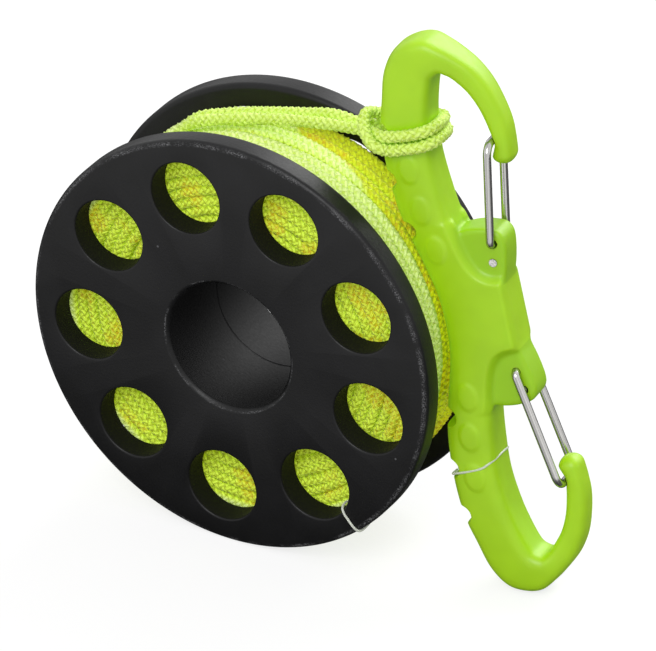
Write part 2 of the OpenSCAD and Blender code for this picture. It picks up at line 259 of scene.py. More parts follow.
def wear_and_highlight_ring_group() -> bpy.types.NodeTree:
    """Builds a scuffed ring round the axis, at rim and bore edges, also a painted highlight.

    Returns:
        The group, which gives a broken mask near one radius and beyond one distance along Y.
    """
    tree, given, out = shader_group(
        "wear_and_highlight_ring", "Where", ("Radius", "Width", "Beyond"), ("Mask",))
    where = given["Where"]
    x, y, z = tree.split(where)
    away = tree.math("ABSOLUTE", tree.math("SUBTRACT", tree.hypot(x, z), given["Radius"]))
    ring = tree.math("SUBTRACT", 1.0, tree.math("DIVIDE", away, given["Width"]), clamp=True)
    past = tree.math("GREATER_THAN", tree.math("ABSOLUTE", y), given["Beyond"])
    fine = tree.spread(tree.noise(where, scale=4200.0, rough=0.6), 0.44, 0.66)
    broad = tree.spread(tree.noise(where, scale=170.0, detail=3.0, rough=0.7), 0.38, 0.62)
    whole = tree.math("MULTIPLY", ring, past)
    broken = tree.math("MULTIPLY", whole, tree.math("MULTIPLY", fine, broad))
    tree.feed(out.inputs["Mask"], broken)
    return tree.data


def deep_walls_group() -> bpy.types.NodeTree:
    """Builds the mask of the walls of the bore and of the ring of holes, painted darker as shade.

    Returns:
        The group, which gives Mask from the place, the radii in metres and the angles in radians.
    """
    tree, given, out = shader_group(
        "deep_walls", "Where", ("Bore", "Circle", "Hole", "First", "Step"), ("Mask",))
    x, _, z = tree.split(given["Where"])
    across = tree.hypot(x, z)
    bore_share = 0.75
    half = tree.math("MULTIPLY", given["Step"], 0.5)
    turn = tree.math("SUBTRACT", tree.math("ARCTAN2", z, x), given["First"])
    turn = tree.math("FLOORED_MODULO", tree.math("ADD", turn, half), given["Step"])
    within = tree.math("SUBTRACT", turn, half)
    along = tree.math("MULTIPLY", across, tree.math("COSINE", within))
    along = tree.math("SUBTRACT", along, given["Circle"])
    aside = tree.math("MULTIPLY", across, tree.math("SINE", within))
    hole = tree.math("LESS_THAN", tree.hypot(along, aside), given["Hole"])
    bore = tree.math("LESS_THAN", across, given["Bore"])
    mask = tree.math("MAXIMUM", hole, tree.math("MULTIPLY", bore, bore_share))
    tree.feed(out.inputs["Mask"], mask)
    return tree.data


def plait_group() -> bpy.types.NodeTree:
    """Builds the relief and the fibres of a plait of eight strands, from run and angle.

    Returns:
        The group, which gives Height and Fibre.
    """
    tree, given, out = shader_group(
        "plait", "Around", ("Run", "Length", "Fibres"), ("Height", "Fibre"))
    x, y, _ = tree.split(given["Around"])
    height, a_on_top, *phases = plait_height(
        tree, given["Run"], given["Length"], tree.math("ARCTAN2", y, x))
    a, b = (tree.math("SINE", tree.math("MULTIPLY", phase, given["Fibres"])) for phase in phases)
    b_shown = tree.math("MULTIPLY", b, tree.math("SUBTRACT", 1.0, a_on_top))
    shown = tree.math("ADD", tree.math("MULTIPLY", a, a_on_top), b_shown)
    tree.fill(out, {"Height": height, "Fibre": tree.math("MULTIPLY_ADD", shown, 0.5, 0.5)})
    return tree.data


def plait_height(tree: Tree, run: object, length: object, angle: object) -> tuple:
    """Adds the nodes of a plait, where four strands cross four others over and under.

    Args:
        tree: The tree to add to.
        run: Distance along the line.
        length: Length of one repeat.
        angle: Angle round the line.

    Returns:
        The height from 0 to 1, the mask of the first family on top, and both families' phases.
    """
    phase = tree.math("MULTIPLY", tree.math("DIVIDE", run, length), FULL_TURN)
    double = tree.math("MULTIPLY", angle, 2.0)
    phases = [tree.math(way, double, phase) for way in ("ADD", "SUBTRACT")]
    waves = [tree.math("COSINE", each) for each in phases]
    weave = tree.math("MULTIPLY", tree.math("MULTIPLY", *waves), 0.5)
    high = [tree.math("MULTIPLY", tree.math("MULTIPLY", wave, wave), tree.math(way, 0.5, weave))
            for wave, way in zip(waves, ("ADD", "SUBTRACT"))]
    return tree.math("MAXIMUM", *high), tree.math("GREATER_THAN", *high), *phases


# ---------------------------------------------------------------- finishes


@dataclass(frozen=True)
class Finish:
    """A surface finish.

    Args:
        name: The material's name.
        roughness: Roughness of the surface.
    """

    name: str
    roughness: float

    def material(self, groups: Groups) -> bpy.types.Material:
        """Builds the material.

        Args:
            groups: The shared shader groups by name.

        Returns:
            The material.
        """
        made = bpy.data.materials.new(self.name)
        made.use_nodes = True
        tree = Tree(made.node_tree)
        principled = tree.data.nodes["Principled BSDF"]
        where = tree.add("ShaderNodeTexCoord").outputs["Object"]
        tree.fill(principled, {"Roughness": self.roughness, **self.surface(tree, where, groups)})
        return made

    def surface(self, tree: Tree, where: object, groups: Groups) -> Inputs:
        """Builds the surface's nodes and gives what the Principled node's inputs get."""
        raise NotImplementedError


@dataclass(frozen=True)
class MouldedPlastic(Finish):
    """Moulded plastic with a fine grain. On the spool it has scuffed rings that also carry a
    painted highlight, and deep walls painted darker as shade; on the clip, recess floors painted
    darker as shade.

    A scuffed ring is its radius, its width and how far along Y it starts.
    """

    dark: Colour
    light: Colour
    grain_depth: float
    specular: float
    speck_size: float
    speck_colour: Colour
    grain_scale: float = 1800.0
    unevenness: float = 0.16
    speck_share: float = 0.7
    softness: float = 0.0
    soft_radius: Colour = (1.0, 1.3, 0.2)
    soft_depth: float = 1.5
    rings: tuple[tuple[float, float, float], ...] = ()
    ring_share: float = 0.8
    scuff_and_highlight_colour: Colour = (0.26, 0.26, 0.27)
    ring_roughening: float = 0.2
    walls: dict[str, float] = field(default_factory=dict)
    wall_shade_colour: Colour = (0.0006, 0.0006, 0.0006)
    wall_roughening: float = 0.34
    recess_shade_colour: Colour | None = None

    def surface(self, tree: Tree, where: object, groups: Groups) -> Inputs:
        """Builds the grain and specks, then, if it has them, the recess floors and the walls
        painted darker as shade, and the scuffed rings with a painted highlight.

        Args:
            tree: The material's tree.
            where: The socket of the Object coordinates.
            groups: The shared shader groups by name.

        Returns:
            What the Principled node's inputs get, by their names.
        """
        grain = tree.group(groups["grain"], {
            "Where": where, "Grain scale": self.grain_scale, "Speck size": self.speck_size}).outputs
        colour = tree.mix(grain["Tone"], self.dark, self.light)
        specks = tree.math("MULTIPLY", grain["Specks"], self.speck_share)
        colour = tree.mix(specks, colour, self.speck_colour)
        # The recess floors, marked as thin, are painted darker: painted shade.
        if self.recess_shade_colour:
            colour = tree.mix(tree.attribute("thin"), colour, self.recess_shade_colour)
        smoothest = self.roughness - self.unevenness / 2
        rough = tree.math("MULTIPLY_ADD", grain["Grain"], self.unevenness, smoothest)
        # Scuffed rings at the rim and bore edges, lighter and rougher: wear, and also a painted
        # highlight along those edges.
        for radius, width, beyond in self.rings:
            mask = tree.group(groups["wear_and_highlight"], {
                "Where": where, "Radius": radius * MM, "Width": width * MM,
                "Beyond": beyond * MM}).outputs["Mask"]
            colour = tree.mix(tree.math("MULTIPLY", mask, self.ring_share), colour,
                              self.scuff_and_highlight_colour)
            rough = tree.math("MULTIPLY_ADD", mask, self.ring_roughening, rough)
        # The walls of the bore and the holes get a darker colour, painted shade, and more
        # roughness.
        if self.walls:
            mask = tree.group(groups["walls"], {"Where": where, **self.walls}).outputs["Mask"]
            colour = tree.mix(mask, colour, self.wall_shade_colour)
            rough = tree.math("MULTIPLY_ADD", mask, self.wall_roughening, rough)
        surface = {"Base Color": colour, "Roughness": rough, "Specular IOR Level": self.specular,
                   "Normal": tree.bump(grain["Grain"], self.grain_depth * MM)}
        if self.softness:
            surface |= {"Subsurface Weight": self.softness, "Subsurface Radius": self.soft_radius,
                        "Subsurface Scale": self.soft_depth * MM}
        return surface


@dataclass(frozen=True)
class BraidedNylon(Finish):
    """Braided line, its plait drawn from each piece's own run and angle.

    On the spool, the last turns towards the front are painted pale, as lit, and the ones behind
    them yellower, as painted shade where the clip and the doubled end shade the winding. The
    plait's creases are painted darker as shade, and the line has a painted glow. The zones are
    radii or distances along Y over which one look gives way to the next. Each step of the
    painted shade is two angles, and the places along Y where the painted shade starts there.
    """

    lit: Colour = (0.74, 0.98, 0.22)
    deep: Colour = (0.5, 0.72, 0.02)
    pale: Colour = (0.88, 1.0, 0.44)
    pale_deep: Colour = (0.66, 0.88, 0.1)
    shaded: Colour = (0.8, 0.88, 0.0)
    shaded_deep: Colour = (0.62, 0.62, 0.0)
    side_lit: Colour = (0.74, 0.98, 0.08)
    side_deep: Colour = (0.42, 0.52, 0.0)
    tan: Colour = (0.82, 0.46, 0.0)
    glow: Colour = (0.08, 0.1, 0.005)
    pale_glow: Colour = (0.11, 0.17, 0.005)
    shade_fill_glow: Colour = (0.2, 0.22, 0.0)
    side_glow: Colour = (0.16, 0.215, 0.003)
    deep_glow: Colour = (0.03, 0.035, 0.0)
    plait_length: float = 3.2
    fibres: float = 7.0
    fibre_share: float = 0.22
    fuzz_share: float = 0.2
    relief: float = 0.22
    wound: bool = True
    crown_zone: Pair = (38.9, 39.9)
    proud_zone: Pair = (38.3, 39.6)
    side_zone: Pair = (9.2, 10.2)
    painted_shade_zone: Pair = (-0.6, 0.8)
    painted_shade_steps: tuple = ((48, 72, -1.0, 4.0), (80, 96, 0.0, 8.0))
    low_angles: Pair = (15, 50)
    sunk_shade_share: float = 0.55
    patch_levels: Pair = (0.49, 0.62)
    side_patches: float = 0.8
    dark_tan: float = 0.9
    bright_tan: float = 0.4

    def surface(self, tree: Tree, where: object, groups: Groups) -> Inputs:
        """Builds the plait, its fibres and fuzz, painted shade in its creases and a painted glow.

        Args:
            tree: The material's tree.
            where: The socket of the Object coordinates.
            groups: The shared shader groups by name.

        Returns:
            What the Principled node's inputs get, by their names.
        """
        plait = tree.group(groups["plait"], {
            "Run": tree.attribute("run"), "Around": tree.attribute("around", "Vector"),
            "Length": self.plait_length * MM, "Fibres": self.fibres}).outputs
        level = tree.spread(plait["Height"], 0.05, 0.75)
        level = tree.math("MULTIPLY_ADD", plait["Fibre"], self.fibre_share, level)
        fuzz = tree.noise(where, scale=2600.0, rough=0.6)
        level = tree.math("MULTIPLY_ADD", fuzz, self.fuzz_share, level)
        shown = tree.spread(level, 0.0, 0.8)
        dark, bright, glow = self.deep, self.lit, self.glow
        if self.wound:
            shown, dark, bright, glow = self.wound_tones(tree, where, shown)
        # Crests take the bright colour and creases the dark one, painted shade in the creases; the
        # emission is a painted glow.
        return {
            "Base Color": tree.mix(shown, dark, bright), "Specular IOR Level": 0.45,
            "Emission Color": tree.mix(shown, self.deep_glow, glow), "Emission Strength": 1.0,
            "Normal": tree.bump(level, self.relief * MM, 0.9), "Sheen Weight": 0.15}

    def wound_tones(self, tree: Tree, where: object, shown: object) -> tuple:
        """Paints light and shade into the line's tones by its place on the spool.

        Args:
            tree: The material's tree.
            where: The socket of the Object coordinates.
            shown: How far a place stands out of the plait, from 0 to 1.

        Returns:
            The same for the wound line, then the dark, bright and glow colours.
        """
        def zone(value: object, ends: Pair) -> object:
            """Maps a length over a zone to 0 to 1."""
            return tree.spread(value, ends[0] * MM, ends[1] * MM)

        x, y, z = tree.split(where)
        across, turn = tree.hypot(x, z), tree.math("ARCTAN2", z, x)
        crown = zone(across, self.crown_zone)
        on_side = zone(tree.math("ABSOLUTE", y), self.side_zone)
        # Turns that lie lower than the last layer's crown are painted darker: painted shade.
        proud = tree.math("MAXIMUM", zone(across, self.proud_zone), on_side)
        lightness = tree.math("MULTIPLY_ADD", proud, 1.0 - self.sunk_shade_share, self.sunk_shade_share)
        shown = tree.math("MULTIPLY", shown, lightness)
        # Behind an edge along Y that steps with the angle, the turns take the shaded colours,
        # painted shade where the clip and the doubled end shade the winding; in front of it they
        # take the pale colours, painted light. The crown is painted paler than the sides seen
        # through the holes.
        edge = tree.math("ADD", *(
            tree.spread(turn, math.radians(low), math.radians(high), first * MM, last * MM)
            for low, high, first, last in self.painted_shade_steps))
        painted_shade = zone(tree.math("SUBTRACT", y, edge), self.painted_shade_zone)
        bright = tree.mix(crown, self.side_lit, tree.mix(painted_shade, self.pale, self.shaded))
        dark = tree.mix(crown, self.side_deep, tree.mix(painted_shade, self.pale_deep, self.shaded_deep))
        # Turns low on the crown beside the clip get a stronger glow, painted fill light in their
        # shade; the sides seen through the holes get their own painted glow.
        low = tree.spread(turn, *map(math.radians, self.low_angles), 1.0, 0.0)
        glow = tree.mix(painted_shade, self.pale_glow, tree.mix(low, self.glow, self.shade_fill_glow))
        glow = tree.mix(crown, self.side_glow, glow)
        # Random orange patches over the painted shade and on the sides: a painted orange tint of
        # shade.
        patches = tree.spread(tree.noise(where, scale=130.0), *self.patch_levels)
        on_side = tree.math("MULTIPLY", tree.math("SUBTRACT", 1.0, crown), self.side_patches)
        patches = tree.math("MULTIPLY", patches, tree.math("MAXIMUM", painted_shade, on_side))
        dark = tree.mix(tree.math("MULTIPLY", patches, self.dark_tan), dark, self.tan)
        bright = tree.mix(tree.math("MULTIPLY", patches, self.bright_tan), bright, self.tan)
        return shown, dark, bright, glow


@dataclass(frozen=True)
class DrawnWire(Finish):
    """Polished spring wire with faint lines along it from drawing, painted streaks of reflection
    along it, and edges painted dark as reflection.
    """

    steel: Colour = (0.72, 0.71, 0.69)
    dark_share: float = 0.45
    edge: Colour = (0.07, 0.07, 0.065)

    def surface(self, tree: Tree, where: object, groups: Groups) -> Inputs:
        """Builds the drawn lines, the grain, the painted streaks of reflection and the painted dark
        edges.

        Args:
            tree: The material's tree.
            where: The socket of the Object coordinates.
            groups: The shared shader groups by name.

        Returns:
            What the Principled node's inputs get, by their names.
        """
        grain = tree.group(
            groups["grain"], {"Where": where, "Grain scale": 1400.0}).outputs["Grain"]
        lines = tree.noise(tree.attribute("around", "Vector"), scale=2.2, detail=3.0, rough=0.7)
        # The colour's dark streaks round the wire are painted reflections; the lines' relief and
        # roughness are drawing marks.
        darker = tuple(self.dark_share * value for value in self.steel)
        reflection_streaked = tree.mix(tree.spread(lines, 0.36, 0.56), darker, self.steel)
        reflection_streaked = tree.mix(tree.math("MULTIPLY", grain, 0.25), reflection_streaked, darker)
        # Edges seen at a slant are painted dark, a painted reflection.
        facing = tree.add("ShaderNodeLayerWeight").outputs["Facing"]
        return {
            "Base Color": tree.mix(tree.spread(facing, 0.5, 0.9), reflection_streaked, self.edge),
            "Roughness": tree.math("MULTIPLY_ADD", lines, 0.12, self.roughness - 0.05),
            "Normal": tree.bump(lines, 0.01 * MM, 0.5), "Metallic": 1.0}


@dataclass(frozen=True)
class ClearFilament(Finish):
    """Clear nylon filament, slightly cloudy."""

    tint: Colour = (0.97, 1.0, 0.9)
    dull_share: float = 0.85

    def surface(self, tree: Tree, where: object, groups: Groups) -> Inputs:
        """Builds the cloudiness.

        Args:
            tree: The material's tree.
            where: The socket of the Object coordinates.
            groups: The shared shader groups by name.

        Returns:
            What the Principled node's inputs get, by their names.
        """
        cloud = tree.noise(where, scale=700.0)
        duller = tuple(self.dull_share * value for value in self.tint)
        return {
            "Base Color": tree.mix(cloud, duller, self.tint), "Transmission Weight": 0.3,
            "IOR": 1.42, "Normal": tree.bump(cloud, 0.01 * MM, 0.4)}


# ---------------------------------------------------------------- meshes


def smooth_list(rows: list, steps: int) -> Points:
    """Draws a Catmull-Rom curve through rows of numbers.

    Args:
        rows: The points to pass through.
        steps: The number of steps between two points.

    Returns:
        The points of the curve, the last one included.
    """
    given = np.array(rows, float)
    out = []
    for i in range(len(given) - 1):
        a, b, c, d = (given[min(max(k, 0), len(given) - 1)] for k in range(i - 1, i + 3))
        for t in np.arange(steps) / steps:
            out.append(0.5 * (2 * b + (c - a) * t + (2 * a - 5 * b + 4 * c - d) * t * t
                              + (3 * b - a - 3 * c + d) * t ** 3))
    return np.array(out + [given[-1]])


def ease(share: Points) -> Points:
    """Eases a share from 0 to 1 in and out."""
    return share * share * (3 - 2 * share)


def ramp(value: Points, start: float, width: float) -> Points:
    """Gives how much of a width, from its start, lies below a value, from 0 to 1."""
    return np.clip((value - start) / width, 0, 1)


def link(name: str, data: bpy.types.ID) -> bpy.types.Object:
    """Makes an object at the origin and links it to the scene.

    Args:
        name: The object's name.
        data: Its mesh, camera or lamp.

    Returns:
        The object.
    """
    made = bpy.data.objects.new(name, data)
    bpy.context.scene.collection.objects.link(made)
    return made


@contextmanager
def edited(mesh: bpy.types.Mesh) -> Iterator[bmesh.types.BMesh]:
    """Opens a mesh for editing and writes it back.

    Args:
        mesh: The mesh.

    Yields:
        The mesh, open for editing.
    """
    work = bmesh.new()
    work.from_mesh(mesh)
    yield work
    work.to_mesh(mesh)
    work.free()


def points_of(mesh: bpy.types.Mesh, what: str = "co") -> Points:
    """Reads a vector of each of a mesh's vertices.

    Args:
        mesh: The mesh.
        what: Which vector, such as the place or the normal.

    Returns:
        One row for each vertex.
    """
    read = np.zeros(len(mesh.vertices) * 3)
    mesh.vertices.foreach_get(what, read)
    return read.reshape(-1, 3)


def mark(mesh: bpy.types.Mesh, name: str, values: Points) -> None:
    """Writes a value to each of a mesh's vertices."""
    made = mesh.attributes.new(name, "FLOAT", "POINT")
    made.data.foreach_set("value", values.astype(np.float32))


def mesh_object(name: str, points: Points, faces: list) -> bpy.types.Object:
    """Makes an object from points in millimetres and faces.

    Args:
        name: The object's name.
        points: Its points in millimetres.
        faces: The numbers of each face's points.

    Returns:
        The linked object.
    """
    mesh = bpy.data.meshes.new(name)
    corners = [list(map(int, face)) for face in faces]
    mesh.from_pydata((np.asarray(points, float) * MM).tolist(), [], corners)
    mesh.validate()
    return link(name, mesh)


def skin(name: str, rings: list[Points], closed: bool = False) -> bpy.types.Object:
    """Makes a skin over rings with equal numbers of points, with flat ends unless it is closed.

    Args:
        name: The object's name.
        rings: The rings of points, one after another.
        closed: Whether the last ring joins the first.

    Returns:
        The object, with its faces pointing outwards.
    """
    count, rows = len(rings[0]), len(rings)
    faces = [
        (i * count + j, i * count + (j + 1) % count,
         (i + 1) % rows * count + (j + 1) % count, (i + 1) % rows * count + j)
        for i in range(rows if closed else rows - 1) for j in range(count)
    ]
    if not closed:
        faces += [tuple(range(count))[::-1], tuple(range((rows - 1) * count, rows * count))]
    made = mesh_object(name, np.concatenate(rings), faces)
    with edited(made.data) as work:
        bmesh.ops.recalc_face_normals(work, faces=work.faces)
    point_outwards(made.data)
    return made


def point_outwards(mesh: bpy.types.Mesh) -> None:
    """Turns all of a mesh's faces over if they point inwards.

    Args:
        mesh: The closed mesh.
    """
    with edited(mesh) as work:
        if work.calc_volume(signed=True) < 0:
            bmesh.ops.reverse_faces(work, faces=work.faces)


def flat_ring(outline: Points, y: float) -> Points:
    """Lays an outline of X and Z at one Y."""
    return np.stack([outline[:, 0], np.full(len(outline), y), outline[:, 1]], axis=1)


def circle(radius: float, sides: int, centre: Pair) -> Points:
    """Draws a circle as points of X and Z."""
    turn = np.arange(sides) * FULL_TURN / sides
    return np.stack([centre[0] + radius * np.cos(turn), centre[1] + radius * np.sin(turn)], axis=1)


def rod(name: str, centre: Pair, radius: float, reach: float, sides: int) -> bpy.types.Object:
    """Makes a round rod through the clip, along its local Y.

    Args:
        name: The object's name.
        centre: The X and Z of its axis.
        radius: Its radius.
        reach: How far it runs on either side of the clip's middle.
        sides: The number of its sides.

    Returns:
        The object, triangulated.
    """
    outline = circle(radius, sides, centre)
    made = skin(name, [flat_ring(outline, y) for y in (-reach, reach)])
    with edited(made.data) as work:
        bmesh.ops.triangulate(work, faces=work.faces)
    return made


def settle(made: bpy.types.Object) -> bpy.types.Object:
    """Turns an object's modifiers into its plain mesh.

    Args:
        made: The object.

    Returns:
        The same object.
    """
    graph = bpy.context.evaluated_depsgraph_get()
    graph.update()
    fresh = bpy.data.meshes.new_from_object(
        made.evaluated_get(graph), preserve_all_data_layers=True, depsgraph=graph)
    made.modifiers.clear()
    old, made.data = made.data, fresh
    bpy.data.meshes.remove(old)
    fresh.name = made.name
    return made


def discard(made: bpy.types.Object) -> None:
    """Removes a helper object and its mesh.

    Args:
        made: The object.
    """
    mesh = made.data
    bpy.data.objects.remove(made)
    bpy.data.meshes.remove(mesh)


def cut(made: bpy.types.Object, tools: list[bpy.types.Object]) -> bpy.types.Object:
    """Cuts helper solids out of an object and removes them.

    Args:
        made: The object to cut.
        tools: The helper solids.

    Returns:
        The same object.
    """
    tool = join("cutter", tools)
    change = made.modifiers.new("cut", "BOOLEAN")
    change.operation, change.solver, change.object = "DIFFERENCE", "MANIFOLD", tool
    settle(made)
    discard(tool)
    return made


def join(name: str, parts: list[bpy.types.Object]) -> bpy.types.Object:
    """Joins helper objects into one and removes them.

    Args:
        name: The joined object's name.
        parts: The helper objects.

    Returns:
        The joined object.
    """
    mesh = bpy.data.meshes.new(name)
    with edited(mesh) as work:
        for part in parts:
            work.from_mesh(part.data)
            discard(part)
    return link(name, mesh)


def shade(made: bpy.types.Object, sharp_deg: float) -> None:
    """Shades an object smooth, apart from edges sharper than an angle."""
    made.data.polygons.foreach_set("use_smooth", [True] * len(made.data.polygons))
    made.data.set_sharp_from_angle(angle=math.radians(sharp_deg))


def dress(made: bpy.types.Object, material: bpy.types.Material, slot: str, body: str, *nodes: str,
          bend: Points | None = None) -> None:
    """Gives a finished piece its material, lets it ride on its body unless it is a spring, and
    hides the CAD nodes that it stands for.

    Args:
        made: The piece.
        material: Its material.
        slot: Not used.
        body: The body that it rides on.
        nodes: The CAD nodes that it stands for.
        bend: Where a spring that is fixed in the clip starts and ends bending towards the body.
            If given, the piece is baked in place and not bent.
    """
    made.data.materials.clear()
    made.data.materials.append(material)
    if bend is not None:
        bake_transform(made)
    else:
        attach(made, body)
    if nodes:
        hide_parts(*nodes)
    LOG.info("%s rides on %s with %d faces", made.name, body, len(made.data.polygons))


# ---------------------------------------------------------------- what follows a path


class Follower:
    """Geometry Nodes tree that lays a round or plaited tube along paths."""

    plait_middle = 0.45
    plait_length = 2.7

    def __init__(self) -> None:
        """Builds the tree once."""
        data = bpy.data.node_groups.new("tube_along_paths", "GeometryNodeTree")
        kinds = {"Paths": "NodeSocketGeometry", "Radius": FLOAT, "Sides": "NodeSocketInt",
                 "Plait height": FLOAT, "Plait length": FLOAT, "Material": "NodeSocketMaterial"}
        self.sockets = {
            label: data.interface.new_socket(label, in_out="INPUT", socket_type=kind).identifier
            for label, kind in kinds.items()}
        data.interface.new_socket("Tube", in_out="OUTPUT", socket_type="NodeSocketGeometry")
        self.data, self.tree = data, Tree(data)
        tree = self.tree
        given, out = tree.add("NodeGroupInput").outputs, tree.add("NodeGroupOutput")
        curve = tree.add("GeometryNodeMeshToCurve", {"Mesh": given["Paths"]})
        ring = tree.add("GeometryNodeCurvePrimitiveCircle",
                        {"Resolution": given["Sides"], "Radius": given["Radius"]}, mode="RADIUS")
        index = tree.add("GeometryNodeSplineParameter").outputs["Index"]
        angle = tree.math("MULTIPLY", tree.math("DIVIDE", index, given["Sides"]), FULL_TURN)
        tube = tree.add("GeometryNodeCurveToMesh", {
            "Curve": curve.outputs["Curve"], "Fill Caps": True,
            "Profile Curve": self._store(ring.outputs["Curve"], "angle", "FLOAT", angle)})
        run, angle = (tree.add("GeometryNodeInputNamedAttribute", {"Name": name},
                               data_type="FLOAT").outputs["Attribute"] for name in ("run", "angle"))
        height, *_ = plait_height(tree, run, given["Plait length"], angle)
        height = tree.math("SUBTRACT", height, self.plait_middle)
        push = tree.add("ShaderNodeVectorMath", {
            "Vector": tree.add("GeometryNodeInputNormal").outputs["Normal"],
            "Scale": tree.math("MULTIPLY", height, given["Plait height"])}, operation="SCALE")
        moved = tree.add("GeometryNodeSetPosition", {
            "Geometry": tube.outputs["Mesh"], "Offset": push.outputs[0]})
        around = tree.add("ShaderNodeCombineXYZ", {
            "X": tree.math("COSINE", angle), "Y": tree.math("SINE", angle)})
        made = self._store(moved.outputs["Geometry"], "around", "FLOAT_VECTOR", around.outputs[0])
        for kind, inputs in (("SetShadeSmooth", {}), ("RealizeInstances", {}),
                             ("SetMaterial", {"Material": given["Material"]})):
            made = tree.add(f"GeometryNode{kind}", {"Geometry": made, **inputs}).outputs["Geometry"]
        tree.feed(out.inputs["Tube"], made)

    def _store(self, geometry: object, name: str, kind: str, value: object) -> object:
        """Stores a point attribute.

        Args:
            geometry: The geometry's socket.
            name: The attribute's name.
            kind: Its data type.
            value: The socket of its value.

        Returns:
            The geometry's socket.
        """
        inputs = {"Geometry": geometry, "Name": name, "Value": value}
        node = self.tree.add("GeometryNodeStoreNamedAttribute", inputs, data_type=kind,
                             domain="POINT")
        return node.outputs["Geometry"]

    def lay(self, name: str, paths: list[tuple[Points, Points]], radius: float, sides: int,
            material: bpy.types.Material, plait_height: float = 0.0) -> bpy.types.Object:
        """Lays a tube along paths.

        Args:
            name: The piece's name.
            paths: Points and distances along the line, one pair for each path.
            radius: The tube's radius.
            sides: The number of its sides.
            material: Its material.
            plait_height: Height of the plait's relief.

        Returns:
            The finished object.
        """
        edges, start = [], 0
        for path, _ in paths:
            edges += [(start + i, start + i + 1) for i in range(len(path) - 1)]
            start += len(path)
        mesh = bpy.data.meshes.new(name)
        mesh.from_pydata((np.concatenate([path for path, _ in paths]) * MM).tolist(), edges, [])
        mark(mesh, "run", np.concatenate([run for _, run in paths]) * MM)
        made = link(name, mesh)
        change = made.modifiers.new("tube", "NODES")
        change.node_group = self.data
        values = {"Radius": radius * MM, "Sides": sides, "Plait height": plait_height * MM,
                  "Plait length": self.plait_length * MM, "Material": material}
        for label, value in values.items():
            change[self.sockets[label]] = value
        settle(made)
        point_outwards(made.data)
        return made


def run_of(path: Points) -> Points:
    """Measures the distance along a path at each of its points, from 0."""
    return np.concatenate([[0.0], np.cumsum(np.linalg.norm(np.diff(path, axis=0), axis=1))])


def spaced(path: Points, run: Points, step: float, low: float | None = None,
           high: float | None = None) -> tuple[Points, Points]:
    """Draws a path again with points one step apart, or only a part of it.

    Args:
        path: The path's points.
        run: The distance along it at each of them.
        step: The greatest distance between two new points.
        low: Where to start, if not at the start.
        high: Where to end, if not at the end.

    Returns:
        The points and their distances along the whole path.
    """
    low, high = run[0] if low is None else low, run[-1] if high is None else high
    at = np.linspace(low, high, max(2, math.ceil((high - low) / step) + 1))
    return np.stack([np.interp(at, run, path[:, k]) for k in range(3)], axis=1), at


# ---------------------------------------------------------------- spool


